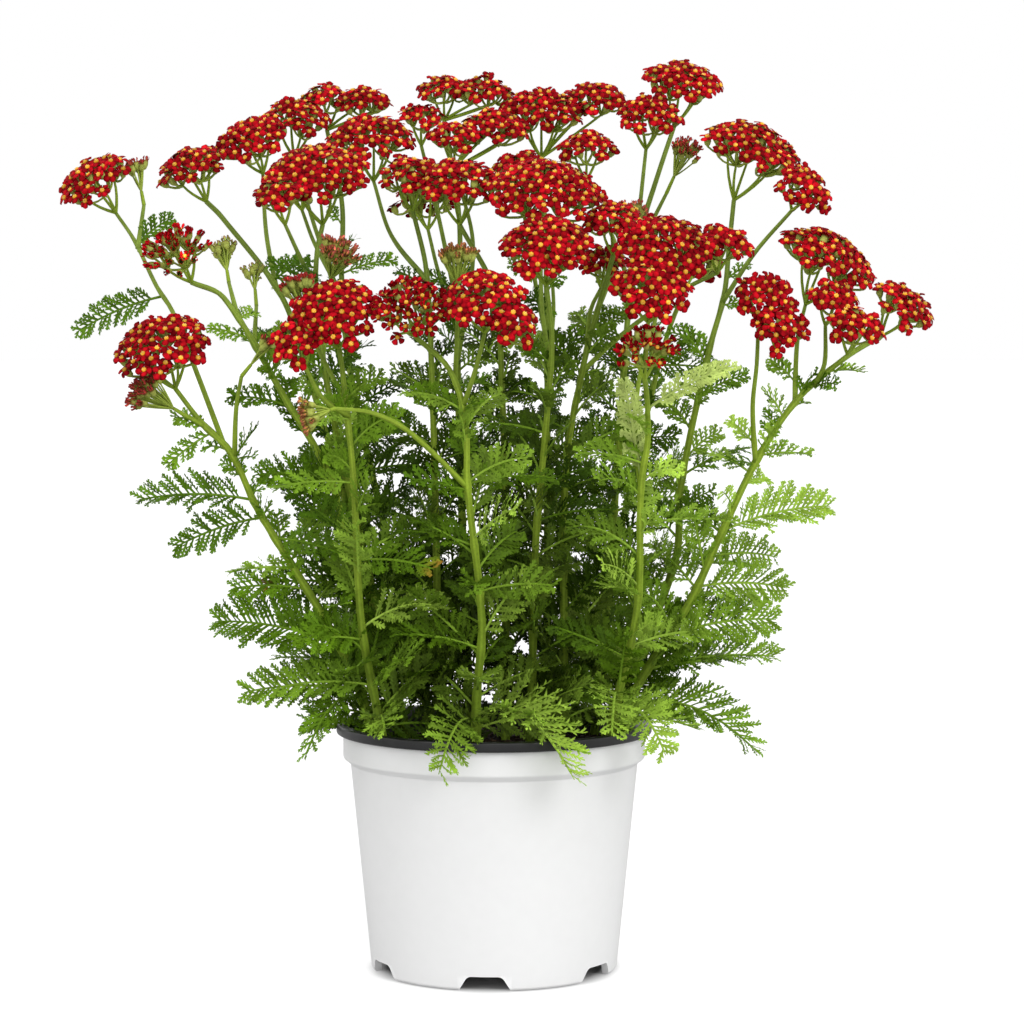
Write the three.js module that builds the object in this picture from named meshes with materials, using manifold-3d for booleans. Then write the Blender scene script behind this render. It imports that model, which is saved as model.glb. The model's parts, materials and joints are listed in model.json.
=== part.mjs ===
// Red yarrow growing in its nursery pot. Millimetres, +Z up.
// The origin is the middle of the pot's foot, on the surface that the pot stands on.
// +X is the plant's right and -Y its front.

import * as THREE from 'three';
import { mergeVertices } from 'three/addons/utils/BufferGeometryUtils.js';
import Module from 'manifold-3d';

const wasm = await Module();
wasm.setup();

// ---------------------------------------------------------------- driving dimensions

const POT_SIDES = 24;
const POT_LIP_RADIUS = 84;        // a 6.5 inch pot, 168 over the lip
const POT_LIP_TOP = 131;
const POT_LIP_BOTTOM = 125.9;
const POT_LIP_WIDTH = 5;
const POT_LIP_BEVEL = 1.3;
const POT_COLLAR_RADIUS = 80.4;
const POT_COLLAR_BOTTOM = 110;
const POT_COLLAR_STEP = 3;        // height over which the body flares to the collar
const POT_BODY_TOP_RADIUS = 76.5;
const POT_FOOT_RADIUS = 65.6;
const POT_FOOT_BEVEL = 1.2;
const POT_FOOT_WIDTH = 3;         // of the ring that the pot stands on
const POT_FLOOR = 8;              // underside of the floor, over the foot ring
const SHELL_WALL = 1.9;
const LINER_WALL = 1.3;
const LINER_FIT = 0.45;           // between the shell's wall and the liner's
const FIT_GAP = 0.3;              // between other pieces that meet
const CUT_PAST = 2;               // by which a cutter passes the faces that it opens
const NOTCHES = 6;
const NOTCH_HEIGHT = 7.5;
const NOTCH_DEPTH = 12;
const NOTCH_TOP_WIDTH = 18;
const NOTCH_FOOT_WIDTH = 27;
const NOTCH_PHASE = -94;          // degrees, of the first notch
const DRAINS = 4;
const DRAIN_SIDES = 6;
const DRAIN_RADIUS = 4;
const DRAIN_CIRCLE = 38;

const SOIL_TOP = 120;
const SOIL_SIDES = 16;
const SOIL_FIT = 1.2;             // between the soil and the liner's wall
const SOIL_RINGS = [[1, -2], [0.75, 0], [0.4, 1], [0, 1]];  // share of its radius, height over SOIL_TOP
const SOIL_UNEVENNESS = 1.2;
const STEM_FOOT = 100;            // where the stems end in the soil

const STEM_GIRTH = 2.6;           // radius at the soil
const STEM_TOP_GIRTH = 1.7;
const HOLE_SIDES = 4;
const BRANCH_GIRTH = 1.5;
const BRANCH_TOP_GIRTH = 1.1;
const STALK_SIDES = 3;
const STALK_TIP_GIRTH = 0.7;
const STALK_REACH = 0.55;         // from the head's middle to a stalk's end, in rim radii
const STALK_DROP = 5;             // a branch stops this far under its head's middle,
const STALK_DROP_GROWTH = 0.9;    // and further by this share of the head's radius
const SMALL_HEAD = 17;            // a head of less than this radius has one stalk fewer
const HUB_RISE = 0.8;             // of the point that the stalks of a branch part at

const RIM_INSET = 0.5;            // the florets reach this far past the core's rim
const RIM_SIDES = 8;              // at least
const RIM_STEP = 16.3;            // longest side of a rim
const RIM_UNEVENNESS = 0.04;      // of the rim's radius
const CROWN_RISE = 0.4;           // height of a head's crown, in rim radii
const CORE_DEPTH = 0.2;           // of a head below its rim, in rim radii
const FLORET_REACH = 0.89;        // outer edge of the outermost florets' waists, in rim radii
const FLORET_PITCH = 14.8;
const FLORET_RADIUS = 7.25;
const FLORET_WAIST = 4.6;         // radius between two petals
const FLORET_LEAST_SIZE = 0.84;   // of the florets on the smallest heads
const FULL_SIZE_HEAD = 18;        // radius from which a head's florets have their full size
const PETALS = 5;
const PETAL_LIFT = 2.1;
const PETAL_UNEVENNESS = 0.2;     // of the petals' lift
const EYE_LIFT = 2.7;
const BUD_RADIUS = 2.3;
const BUD_TIP = 2.5;              // length of a bud's pointed end
const BUD_SPREAD = 3;             // least distance of a bud from its cluster's middle
const SMALL_CLUSTER = 7;          // a cluster of less than this radius has one bud fewer

const LEAF_HALF_WIDTH = 0.26;     // of the leaf's length
const LEAF_OUTLINE = [0.2, 0.92]; // part of a half circle that the leaf's width follows
const PINNA_PITCH = 11;
const PINNA_PAIRS = 3;            // at least
const PINNA_SWEEP = 0.55;         // how far a pinna leans to the tip, in its own length
const PINNA_LIFT = 0.12;          // how far its end lifts off the blade, in its own length
const RIB_HALF_WIDTH = 1.3;
const RIB_HEIGHT = 1.3;
const RIB_TAPER = 0.5;            // share of both that is lost at the tip
const PETIOLE = 0.14;             // bare share of the leaf's length
const LEAF_SAG = 0.2;             // drop of the tip below the rib's first line, in lengths
const LEAF_LEAN = 50;             // degrees, by which a blade faces away from the plant
const BACK_OF_PLANT = 40;         // past this y the leaves face the back instead of the front
const LEAF_CLEARANCE = 0.35;      // between a leaf and another shoot or bloom
const LEAF_TURNS = [0, 14, -14, 28, -28, 42, -42, 56, -56, 72, -72, 90, -90];

// ---------------------------------------------------------------- the plan of the plant

// Each bloom is one or two flower heads grown into each other.
// A head is [x, y, z of its rim's middle, radius, and the way it faces].
const BLOOMS = {
  bloom_01: [[-209, -14, 418, 19, -0.45, -0.45, 0.77]],
  bloom_02: [[-164, 38, 427, 18, -0.35, -0.4, 0.84]],
  bloom_03: [[-161, -62, 379, 17, -0.3, -0.6, 0.74]],
  bloom_04: [[-133, 56, 443, 19, -0.25, -0.55, 0.8]],
  bloom_05: [[-110, 85, 456, 19, 0.1, -0.4, 0.92]],
  bloom_06: [[-95, 110, 469, 14, 0, -0.3, 0.95], [-75, 104, 467, 15, 0, -0.3, 0.95]],
  bloom_07: [[-93, -20, 420, 27, -0.1, -0.5, 0.86], [-110, -46, 408, 13, -0.15, -0.5, 0.85]],
  bloom_08: [[-66, 44, 443, 22, 0, -0.42, 0.9]],
  bloom_09: [[-29, 118, 475, 14, 0, -0.3, 0.95], [-7, 112, 473, 16, 0, -0.3, 0.95]],
  bloom_10: [[-41, 84, 457, 12, 0, -0.3, 0.95]],
  bloom_11: [[-22, 55, 444, 14, 0, -0.42, 0.91], [-1, 66, 450, 18, 0, -0.42, 0.91]],
  bloom_12: [[26, 100, 461, 24, 0, -0.38, 0.93], [57, 109, 469, 17, 0.05, -0.38, 0.93]],
  bloom_13: [[104, 86, 476, 22, 0.15, -0.4, 0.9]],
  bloom_14: [[84, 54, 456, 17, 0.05, -0.5, 0.85]],
  bloom_15: [[50, 54, 438, 15, 0, -0.4, 0.9]],
  bloom_16: [[15, 40, 427, 15, 0, -0.4, 0.9]],
  bloom_17: [[-43, -1, 421, 17, 0, -0.4, 0.91], [-18, -16, 416, 21, 0, -0.45, 0.88]],
  bloom_18: [[26, -33, 411, 29, 0.05, -0.45, 0.88]],
  bloom_19: [[64, -42, 395, 16, 0.1, -0.5, 0.85]],
  bloom_20: [[27, -79, 381, 22, 0, -0.65, 0.76]],
  bloom_21: [[58, -13, 375, 12, 0.1, -0.5, 0.85]],
  bloom_22: [[86, -76, 380, 23, 0.05, -0.7, 0.7], [79, -97, 359, 19, 0.05, -0.7, 0.7]],
  bloom_23: [[117, -48, 384, 14, 0.1, -0.5, 0.85]],
  bloom_24: [[139, 20, 435, 27, 0.35, -0.3, 0.88]],
  bloom_25: [[162, -18, 413, 14, 0.3, -0.7, 0.6]],
  bloom_26: [[176, -10, 377, 26, 0.4, -0.35, 0.85]],
  bloom_27: [[213, -24, 352, 17, 0.5, -0.4, 0.77]],
  bloom_28: [[174, -46, 355, 13, 0.15, -0.6, 0.8], [184, -60, 341, 14, 0.15, -0.6, 0.8]],
  bloom_29: [[138, -60, 355, 15, 0.1, -0.8, 0.6], [146, -71, 340, 13, 0.12, -0.8, 0.6]],
  bloom_30: [[75, -119, 330, 14, 0, -0.55, 0.83]],
  bloom_31: [[-168, -70, 331, 24, -0.2, -0.55, 0.8]],
  bloom_32: [[-79, -92, 348, 22, -0.05, -0.7, 0.7], [-97, -104, 333, 13, -0.2, -0.7, 0.7]],
  bloom_33: [[-41, -102, 350, 18, -0.1, -0.75, 0.65]],
  bloom_34: [[-4, -114, 354, 19, 0, -0.7, 0.7], [10, -123, 342, 12, 0.1, -0.7, 0.7]],
  bloom_35: [[113, 120, 378, 16, 0.3, 0.5, 0.8]],
  bloom_36: [[34, 120, 392, 18, 0.1, 0.5, 0.85]],
  bloom_37: [[-96, 122, 352, 16, -0.2, 0.55, 0.8]],
  bloom_38: [[-113, 118, 425, 16, -0.2, 0.3, 0.92]],
  bloom_39: [[-40, 122, 414, 17, -0.1, 0.45, 0.88]],
};

// Each shoot is a stem and the branches that leave it, each a path from its lower end.
// leaves: [height on the path, heading, rise (both degrees), length, sag if it isn't LEAF_SAG].
// heads: the flower heads that the path ends under, as [bloom, which of its heads].
// buds: a cluster of closed buds at the path's end, as [x, y, z, radius].
const SHOOTS = {
  shoot_01: [
    { path: [[-60, -22], [-69, -27, 148], [-88, -34, 189], [-122, -46, 248], [-135, -52, 277],
        [-149, -57, 292]],
      heads: [['bloom_31', 0]],
      leaves: [[146, 231, 30, 52, 1], [151, 192, 12, 62], [176, 182, 22, 68], [205, 184, 12, 40],
        [216, 184, 8, 34], [243, 186, -8, 46], [252, 188, 12, 60], [287, 190, -28, 27],
        [232, -25, 0, 40]] },
    { path: [[-138, -52, 280], [-153, -44, 318], [-166, -36, 349], [-175, -28, 362],
        [-188, -14, 386]],
      heads: [['bloom_01', 0]],
      leaves: [[357, 180, -12, 46], [384, 20, 45, 28]] },
    { path: [[-186, -17, 382], [-184, -6, 405]], buds: [-188, -4, 426, 6] },
    { path: [[-133, -51, 274], [-131, -61, 300], [-128, -64, 316]], buds: [-115, -62, 332, 5] },
    { path: [[-147, -56, 290], [-158, -66, 297]], buds: [-176, -78, 309, 11] },
  ],
  shoot_02: [
    { path: [[-54, -6], [-63, -12, 145], [-78, -24, 235], [-88, -30, 269], [-106, -38, 301],
        [-138, -52, 356]],
      heads: [['bloom_03', 0]],
      leaves: [[135, 240, 20, 40], [262, 200, 15, 42], [160, 200, 20, 52], [205, 170, 12, 50],
        [300, 178, 20, 34], [330, 30, 30, 26]] },
    { path: [[-131, -50, 346], [-137, -34, 364]], buds: [-141, -20, 382, 7] },
    { path: [[-123, -46, 332], [-124, -20, 352]], buds: [-127, 0, 370, 6] },
  ],
  shoot_03: [
    { path: [[-46, 10], [-55, 11, 141], [-77, 14, 238], [-99, 22, 313], [-114, 26, 357],
        [-147, 37, 400]],
      heads: [['bloom_02', 0]],
      leaves: [[210, 120, 25, 50], [170, 150, 20, 56], [250, 170, 25, 44], [330, 200, 25, 34],
        [365, 0, 40, 28]] },
    { path: [[-117, 27, 361], [-124, 46, 392]], heads: [['bloom_04', 0]] },
  ],
  shoot_04: [
    { path: [[-38, -8], [-50, -12, 142], [-70, -14, 229], [-86, -16, 303], [-93, -14, 355],
        [-93, -8, 380]],
      heads: [['bloom_07', 0]],
      leaves: [[190, 140, 25, 46], [150, -60, 30, 46], [262, 20, 20, 42], [318, 160, 30, 38]] },
    { path: [[-93, -13, 360], [-101, -26, 378]], heads: [['bloom_07', 1]] },
    { path: [[-92, -14, 347], [-86, -26, 362]], buds: [-80, -38, 380, 11] },
  ],
  shoot_05: [
    { path: [[-52, -38], [-61, -43, 146], [-68, -56, 191], [-71, -70, 265], [-76, -74, 318]],
      heads: [['bloom_32', 0]],
      leaves: [[138, -84, 20, 50, 0.35], [156, 180, 10, 50], [180, 215, 14, 44],
        [222, -30, 8, 46], [262, 195, 8, 42], [290, 10, 26, 30]] },
    { path: [[-73, -74, 296], [-86, -86, 306]], heads: [['bloom_32', 1]] },
    { path: [[-74, -74, 302], [-92, -62, 335]], buds: [-99, -58, 362, 10] },
  ],
  shoot_06: [
    { path: [[-8, -42], [-9, -47, 144], [-6, -60, 192], [-13, -78, 261], [-14, -84, 295],
        [-22, -88, 320]],
      heads: [['bloom_33', 0]],
      leaves: [[134, 250, 35, 66, 0.83], [140, -47, 30, 84, 0.8], [150, 20, 30, 50],
        [176, 205, 22, 52], [206, -30, 18, 46], [230, 160, 20, 46], [262, 20, 14, 48],
        [300, 170, 30, 30]] },
    { path: [[-15, -85, 301], [-8, -98, 322]], heads: [['bloom_34', 0]] },
    { path: [[-19, -87, 312], [-18, -80, 340], [-18, -80, 358]], buds: [-18, -84, 377, 10] },
    { path: [[-13, -78, 260], [-32, -90, 280], [-46, -100, 292], [-61, -110, 299],
        [-77, -119, 301]],
      buds: [-90, -123, 298, 8] },
  ],
  shoot_07: [
    { path: [[-24, 0], [-29, 0, 143], [-31, 2, 239], [-33, 4, 313], [-36, 8, 371]],
      heads: [['bloom_17', 0]],
      leaves: [[190, 60, 30, 46], [268, -40, 25, 42], [150, -100, 30, 50], [236, 200, 20, 44],
        [300, 130, 30, 38], [340, -60, 30, 28]] },
    { path: [[-36, 7, 366], [-56, 37, 391]], heads: [['bloom_08', 0]] },
  ],
  shoot_08: [
    { path: [[6, 2], [6, 3, 142], [6, 4, 238], [4, 3, 313], [0, 2, 360]],
      heads: [['bloom_17', 1]],
      leaves: [[192, 150, 30, 44], [256, -40, 25, 42], [160, -120, 35, 46], [225, 60, 25, 44],
        [290, -140, 30, 38]] },
  ],
  shoot_09: [
    { path: [[18, -8], [20, -12, 149], [22, -22, 229], [28, -38, 300], [30, -48, 335]],
      heads: [['bloom_20', 0]],
      leaves: [[210, 160, 25, 46], [134, -58, 34, 60], [180, -90, 24, 54], [240, -20, 20, 44],
        [286, 190, 20, 36]] },
    { path: [[29, -44, 320], [25, -30, 352]], heads: [['bloom_18', 0]] },
  ],
  shoot_10: [
    { path: [[34, 8], [37, 6, 147], [38, 2, 265], [48, -8, 325], [55, -14, 352]],
      heads: [['bloom_19', 0]],
      leaves: [[212, 140, 25, 46], [170, 30, 22, 50], [255, -30, 24, 44], [300, 60, 30, 36]] },
    { path: [[49, -9, 330], [51, -4, 350]], heads: [['bloom_21', 0]] },
    { path: [[46, -6, 317], [66, -12, 336], [98, -30, 360]], heads: [['bloom_23', 0]] },
    { path: [[54, -13, 349], [64, 2, 372]], buds: [74, 4, 402, 9] },
  ],
  shoot_11: [
    { path: [[56, -34], [63, -38, 142], [74, -52, 197], [75, -70, 261], [78, -77, 284],
        [77, -92, 304]],
      heads: [['bloom_30', 0]],
      leaves: [[136, -15, 15, 48, 0.32], [141, -62, 30, 60, 0.77], [148, -95, 30, 60, 0.7],
        [176, 20, 20, 46], [204, -120, 20, 40], [240, -20, 15, 50], [272, 175, 20, 36]] },
    { path: [[75, -69, 258], [72, -62, 289], [75, -60, 318], [82, -58, 342]],
      heads: [['bloom_22', 0]] },
    { path: [[76, -60, 321], [78, -72, 334]], heads: [['bloom_22', 1]] },
  ],
  shoot_12: [
    { path: [[60, -6], [71, -6, 141], [104, -10, 197], [119, -14, 231], [138, -20, 272],
        [158, -26, 303], [183, -26, 325]],
      heads: [['bloom_27', 0]],
      leaves: [[140, -20, 20, 76, 0.62], [160, -8, 18, 70], [178, 0, 20, 60], [204, 10, 10, 50],
        [220, -40, 14, 44], [234, 2, 24, 62], [274, -10, 12, 28], [318, -40, 10, 22]] },
    { path: [[157, -25, 301], [159, -16, 334]],
      heads: [['bloom_26', 0]],
      leaves: [[312, 170, 50, 22]] },
    { path: [[167, -28, 311], [171, -38, 322]], heads: [['bloom_28', 0]] },
    { path: [[137, -20, 270], [134, -38, 300], [135, -50, 322]],
      heads: [['bloom_29', 0]],
      leaves: [[280, 160, 50, 22]] },
  ],
  shoot_13: [
    { path: [[56, 14], [68, 12, 141], [97, 14, 216], [100, 14, 257], [115, 16, 329],
        [123, 20, 358], [126, 26, 384]],
      heads: [['bloom_24', 0]],
      leaves: [[186, -30, 15, 50], [160, 20, 14, 56], [212, 30, 10, 50], [262, 15, 32, 44],
        [304, 12, 34, 32], [330, 160, 30, 28]] },
    { path: [[122, 19, 354], [138, 6, 380]], heads: [['bloom_25', 0]] },
  ],
  shoot_14: [
    { path: [[51, 34], [57, 37, 140], [65, 48, 236], [74, 64, 356], [79, 68, 389], [90, 82, 424]],
      heads: [['bloom_13', 0]],
      leaves: [[200, 120, 25, 50], [275, -42, 21, 43], [165, 60, 25, 56], [240, 30, 20, 50],
        [318, 2, 10, 58], [350, 100, 35, 34]] },
    { path: [[76, 66, 370], [80, 64, 410]], heads: [['bloom_14', 0]] },
    { path: [[75, 65, 362], [64, 62, 392]], heads: [['bloom_15', 0]] },
    { path: [[79, 67, 384], [94, 60, 414]], buds: [104, 48, 437, 9] },
  ],
  shoot_15: [
    { path: [[24, 30], [28, 36, 139], [29, 60, 235], [29, 78, 328], [28, 90, 395]],
      heads: [['bloom_12', 0], ['bloom_12', 1]],
      leaves: [[198, -60, 25, 46], [270, 130, 25, 42], [160, 110, 30, 52], [240, 70, 25, 46],
        [300, -170, 25, 40]] },
    { path: [[29, 79, 332], [20, 62, 378]], heads: [['bloom_16', 0]] },
    { path: [[29, 76, 316], [33, 110, 350]], heads: [['bloom_36', 0]] },
  ],
  shoot_16: [
    { path: [[-12, 36], [-14, 42, 138], [-18, 66, 234], [-21, 86, 328], [-20, 100, 400]],
      heads: [['bloom_09', 0], ['bloom_09', 1]],
      leaves: [[200, -150, 25, 48], [268, 60, 25, 42], [165, 90, 30, 56], [235, 140, 25, 48],
        [300, 20, 25, 40]] },
    { path: [[-21, 91, 352], [-32, 88, 405]], heads: [['bloom_10', 0]] },
    { path: [[-21, 84, 320], [-12, 76, 385]], heads: [['bloom_11', 0], ['bloom_11', 1]] },
    { path: [[-21, 88, 338], [-32, 106, 372]], heads: [['bloom_39', 0]] },
  ],
  shoot_17: [
    { path: [[-32, 38], [-38, 46, 137], [-62, 70, 234], [-80, 88, 311], [-86, 98, 367],
        [-86, 104, 410]],
      heads: [['bloom_06', 0], ['bloom_06', 1]],
      leaves: [[190, 100, 25, 54], [262, -160, 25, 44], [160, 140, 25, 60], [225, 165, 20, 54],
        [300, 120, 25, 44], [340, 200, 30, 34]] },
    { path: [[-84, 94, 350], [-100, 92, 395]], heads: [['bloom_05', 0]] },
    { path: [[-84, 96, 356], [-102, 112, 388]], heads: [['bloom_38', 0]] },
    { path: [[-74, 82, 284], [-86, 104, 316]], heads: [['bloom_37', 0]] },
  ],
  shoot_18: [
    { path: [[38, 50], [46, 58, 140], [72, 88, 235], [90, 106, 310], [98, 114, 338]],
      heads: [['bloom_35', 0]],
      leaves: [[178, 0, 20, 54], [228, 120, 20, 48], [155, 50, 20, 60], [200, 75, 20, 58],
        [255, 40, 25, 50], [300, 80, 30, 32]] },
  ],
};

// ---------------------------------------------------------------- solids

function toSolid(geometry) {
  const bare = geometry.clone();
  bare.deleteAttribute('normal');
  bare.deleteAttribute('uv');
  const merged = mergeVertices(bare, 1e-4);
  return new wasm.Manifold(new wasm.Mesh({
    numProp: 3,
    vertProperties: new Float32Array(merged.attributes.position.array),
    triVerts: new Uint32Array(merged.index.array),
  }));
}

// A solid from corners (Vector3) and triangles (three corner numbers each).
function facetedSolid({ corners, triangles }) {
  return new wasm.Manifold(new wasm.Mesh({
    numProp: 3,
    vertProperties: new Float32Array(corners.flatMap((corner) => corner.toArray())),
    triVerts: new Uint32Array(triangles.flat()),
  }));
}

// Adds a corner and gives its number.
function addCorner({ corners }, place) {
  return corners.push(place) - 1;
}

function toGeometry(solid) {
  const mesh = solid.getMesh();
  const geometry = new THREE.BufferGeometry();
  geometry.setAttribute('position', new THREE.BufferAttribute(mesh.vertProperties, mesh.numProp));
  geometry.setIndex(new THREE.BufferAttribute(mesh.triVerts, 1));
  geometry.computeVertexNormals();
  return geometry;
}

function lathe(profile, sides) {
  const outline = profile.map(([radius, height]) => new THREE.Vector2(radius, height));
  return new THREE.LatheGeometry(outline, sides).rotateX(Math.PI / 2);
}

function eachOf(count, make) {
  return Array.from({ length: count }, (_, index) => make(index));
}

// Repeatable numbers from 0 to 1.
function draws(seed) {
  let state = seed;
  return () => {
    state = (state * 16807) % 2147483647;
    return state / 2147483647;
  };
}

// ---------------------------------------------------------------- pot and soil

const LINER_FLOOR = POT_FLOOR + SHELL_WALL + FIT_GAP;
const SOIL_FLOOR = LINER_FLOOR + LINER_WALL + FIT_GAP;

// Outside radius of the shell's body at a height. It is carried on above the collar's foot.
function bodyRadius(height) {
  const share = (height - POT_FOOT_BEVEL) / (POT_COLLAR_BOTTOM - POT_FOOT_BEVEL);
  return POT_FOOT_RADIUS + share * (POT_BODY_TOP_RADIUS - POT_FOOT_RADIUS);
}

function linerOutside(height) {
  return bodyRadius(height) - SHELL_WALL - LINER_FIT;
}

function linerInside(height) {
  return linerOutside(height) - LINER_WALL;
}

function notchCutter(index) {
  const outline = new THREE.Shape();
  outline.moveTo(-NOTCH_FOOT_WIDTH / 2, -CUT_PAST);
  outline.lineTo(NOTCH_FOOT_WIDTH / 2, -CUT_PAST);
  outline.lineTo(NOTCH_TOP_WIDTH / 2, NOTCH_HEIGHT);
  outline.lineTo(-NOTCH_TOP_WIDTH / 2, NOTCH_HEIGHT);
  outline.closePath();
  const cutter = new THREE.ExtrudeGeometry(outline, { depth: NOTCH_DEPTH + CUT_PAST, bevelEnabled: false });
  cutter.rotateX(Math.PI / 2).translate(0, NOTCH_DEPTH - POT_FOOT_RADIUS, 0);
  cutter.rotateZ(THREE.MathUtils.degToRad(NOTCH_PHASE + 90 + index * 360 / NOTCHES));
  return toSolid(cutter);
}

function drainCutter(index) {
  const angle = (index + 0.5) * 2 * Math.PI / DRAINS;
  const depth = SOIL_FLOOR - POT_FLOOR + 2 * CUT_PAST;
  const cutter = new THREE.CylinderGeometry(DRAIN_RADIUS, DRAIN_RADIUS, depth, DRAIN_SIDES);
  cutter.rotateX(Math.PI / 2);
  cutter.translate(DRAIN_CIRCLE * Math.cos(angle), DRAIN_CIRCLE * Math.sin(angle), 0);
  cutter.translate(0, 0, (SOIL_FLOOR + POT_FLOOR) / 2);
  return toSolid(cutter);
}

function potShell() {
  const floorTop = POT_FLOOR + SHELL_WALL;
  const collarInside = POT_COLLAR_RADIUS - SHELL_WALL;
  const collarTop = POT_LIP_BOTTOM - FIT_GAP;
  const body = toSolid(lathe([
    [0, POT_FLOOR],
    [POT_FOOT_RADIUS - POT_FOOT_WIDTH, POT_FLOOR],
    [POT_FOOT_RADIUS - POT_FOOT_WIDTH - POT_FOOT_BEVEL, 0],
    [POT_FOOT_RADIUS - POT_FOOT_BEVEL, 0],
    [POT_FOOT_RADIUS, POT_FOOT_BEVEL],
    [POT_BODY_TOP_RADIUS, POT_COLLAR_BOTTOM],
    [POT_COLLAR_RADIUS, POT_COLLAR_BOTTOM + POT_COLLAR_STEP],
    [POT_COLLAR_RADIUS, collarTop],
    [collarInside, collarTop],
    [collarInside, POT_COLLAR_BOTTOM + POT_COLLAR_STEP],
    [POT_BODY_TOP_RADIUS - SHELL_WALL, POT_COLLAR_BOTTOM],
    [bodyRadius(floorTop) - SHELL_WALL, floorTop],
    [0, floorTop],
  ], POT_SIDES));
  const cutters = [...eachOf(NOTCHES, notchCutter), ...eachOf(DRAINS, drainCutter)];
  return body.subtract(wasm.Manifold.union(cutters));
}

function potLiner() {
  const body = toSolid(lathe([
    [0, LINER_FLOOR],
    [linerOutside(LINER_FLOOR), LINER_FLOOR],
    [linerOutside(POT_LIP_BOTTOM), POT_LIP_BOTTOM],
    [POT_LIP_RADIUS - POT_LIP_BEVEL, POT_LIP_BOTTOM],
    [POT_LIP_RADIUS, POT_LIP_BOTTOM + POT_LIP_BEVEL],
    [POT_LIP_RADIUS, POT_LIP_TOP - POT_LIP_BEVEL],
    [POT_LIP_RADIUS - POT_LIP_BEVEL, POT_LIP_TOP],
    [POT_LIP_RADIUS - POT_LIP_WIDTH, POT_LIP_TOP],
    [linerInside(POT_LIP_BOTTOM), POT_LIP_BOTTOM],
    [linerInside(LINER_FLOOR + LINER_WALL), LINER_FLOOR + LINER_WALL],
    [0, LINER_FLOOR + LINER_WALL],
  ], POT_SIDES));
  return body.subtract(wasm.Manifold.union(eachOf(DRAINS, drainCutter)));
}

// The soil fills the liner, uneven on top, with a hole for each stem.
function soil() {
  const edge = linerInside(SOIL_TOP) - SOIL_FIT;
  const geometry = lathe([
    [0, SOIL_FLOOR],
    [linerInside(SOIL_FLOOR) - SOIL_FIT, SOIL_FLOOR],
    ...SOIL_RINGS.map(([share, lift]) => [edge * share, SOIL_TOP + lift]),
  ], SOIL_SIDES);
  geometry.deleteAttribute('normal');
  geometry.deleteAttribute('uv');
  const merged = mergeVertices(geometry, 1e-4);
  const places = merged.attributes.position;
  const draw = draws(11);
  for (let index = 0; index < places.count; index += 1) {
    const lift = (draw() * 2 - 1) * SOIL_UNEVENNESS;
    if (places.getZ(index) >= SOIL_TOP) places.setZ(index, places.getZ(index) + lift);
  }
  const holes = Object.values(SHOOTS).map(([stem]) => stemHole(stem));
  return toSolid(merged).subtract(wasm.Manifold.union(holes));
}

// The room that a stem takes in the soil, with the gap round it.
function stemHole(stem) {
  const [foot, next] = stemPoints(stem);
  const top = SOIL_TOP + 2 * SOIL_UNEVENNESS + CUT_PAST;
  const below = foot.clone().add(new THREE.Vector3(0, 0, -FIT_GAP));
  const above = foot.clone().lerp(next, (top - foot.z) / (next.z - foot.z));
  const girth = (STEM_GIRTH + Math.SQRT2 * FIT_GAP) / Math.cos(Math.PI / HOLE_SIDES);
  return limb([below, above], girth, girth, HOLE_SIDES);
}

// ---------------------------------------------------------------- stems

const UP = new THREE.Vector3(0, 0, 1);

function stemPoints({ path }) {
  return path.map(([x, y, z]) => new THREE.Vector3(x, y, z ?? STEM_FOOT));
}

function aheadAt(points, index) {
  const last = points.length - 1;
  return points[Math.min(index + 1, last)].clone().sub(points[Math.max(index - 1, 0)]).normalize();
}

// The way that a limb's end faces: on, or halfway between that and the middle of its stalks.
function endAhead(points, stalks) {
  const last = points.length - 1;
  const ahead = aheadAt(points, last);
  if (!stalks.length) return ahead;
  const middle = stalks.reduce((sum, { end }) => sum.add(end), new THREE.Vector3()).divideScalar(stalks.length);
  return ahead.add(middle.sub(points[last]).normalize()).normalize();
}

// Two directions at right angles to a limb's own and to each other.
function crossAxes(ahead) {
  const across = new THREE.Vector3(1, 0, 0);
  across.addScaledVector(ahead, -across.dot(ahead)).normalize();
  return [across, ahead.clone().cross(across)];
}

// A closed limb with flat sides through the points, thinner towards its end.
// Where it carries stalks it has a side for each of them and ends in them.
function limb(points, girth, endGirth, sides, stalks = []) {
  const last = points.length - 1;
  const end = points[last];
  const ahead = endAhead(points, stalks);
  const sorted = sortRound(stalks, end, ahead);
  const phase = sorted.length ? sorted[0].bearing - Math.PI / sides : 0;
  const mesh = { corners: limbCorners(points, [girth, endGirth], sides, phase, ahead), triangles: [] };
  addLimbSides(mesh, last, sides);
  const ringStart = last * sides;
  for (let side = 1; side < sides - 1; side += 1) {
    mesh.triangles.push([0, side + 1, side]);
    if (!sorted.length) mesh.triangles.push([ringStart, ringStart + side, ringStart + side + 1]);
  }
  if (sorted.length) addStalks(mesh, sorted, end, ahead, ringStart);
  return facetedSolid(mesh);
}

function limbCorners(points, girths, sides, phase, lastAhead) {
  const last = points.length - 1;
  return points.flatMap((point, index) => {
    const [across, other] = crossAxes(index < last ? aheadAt(points, index) : lastAhead);
    const radius = THREE.MathUtils.lerp(...girths, index / last);
    return eachOf(sides, (side) => {
      const angle = phase + side * 2 * Math.PI / sides;
      return point.clone()
        .addScaledVector(across, radius * Math.cos(angle))
        .addScaledVector(other, radius * Math.sin(angle));
    });
  });
}

function addLimbSides({ triangles }, lengths, sides) {
  for (let ring = 0; ring < lengths; ring += 1) {
    for (let side = 0; side < sides; side += 1) {
      const here = ring * sides + side;
      const beside = ring * sides + (side + 1) % sides;
      triangles.push([here, beside, beside + sides], [here, beside + sides, here + sides]);
    }
  }
}

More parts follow.
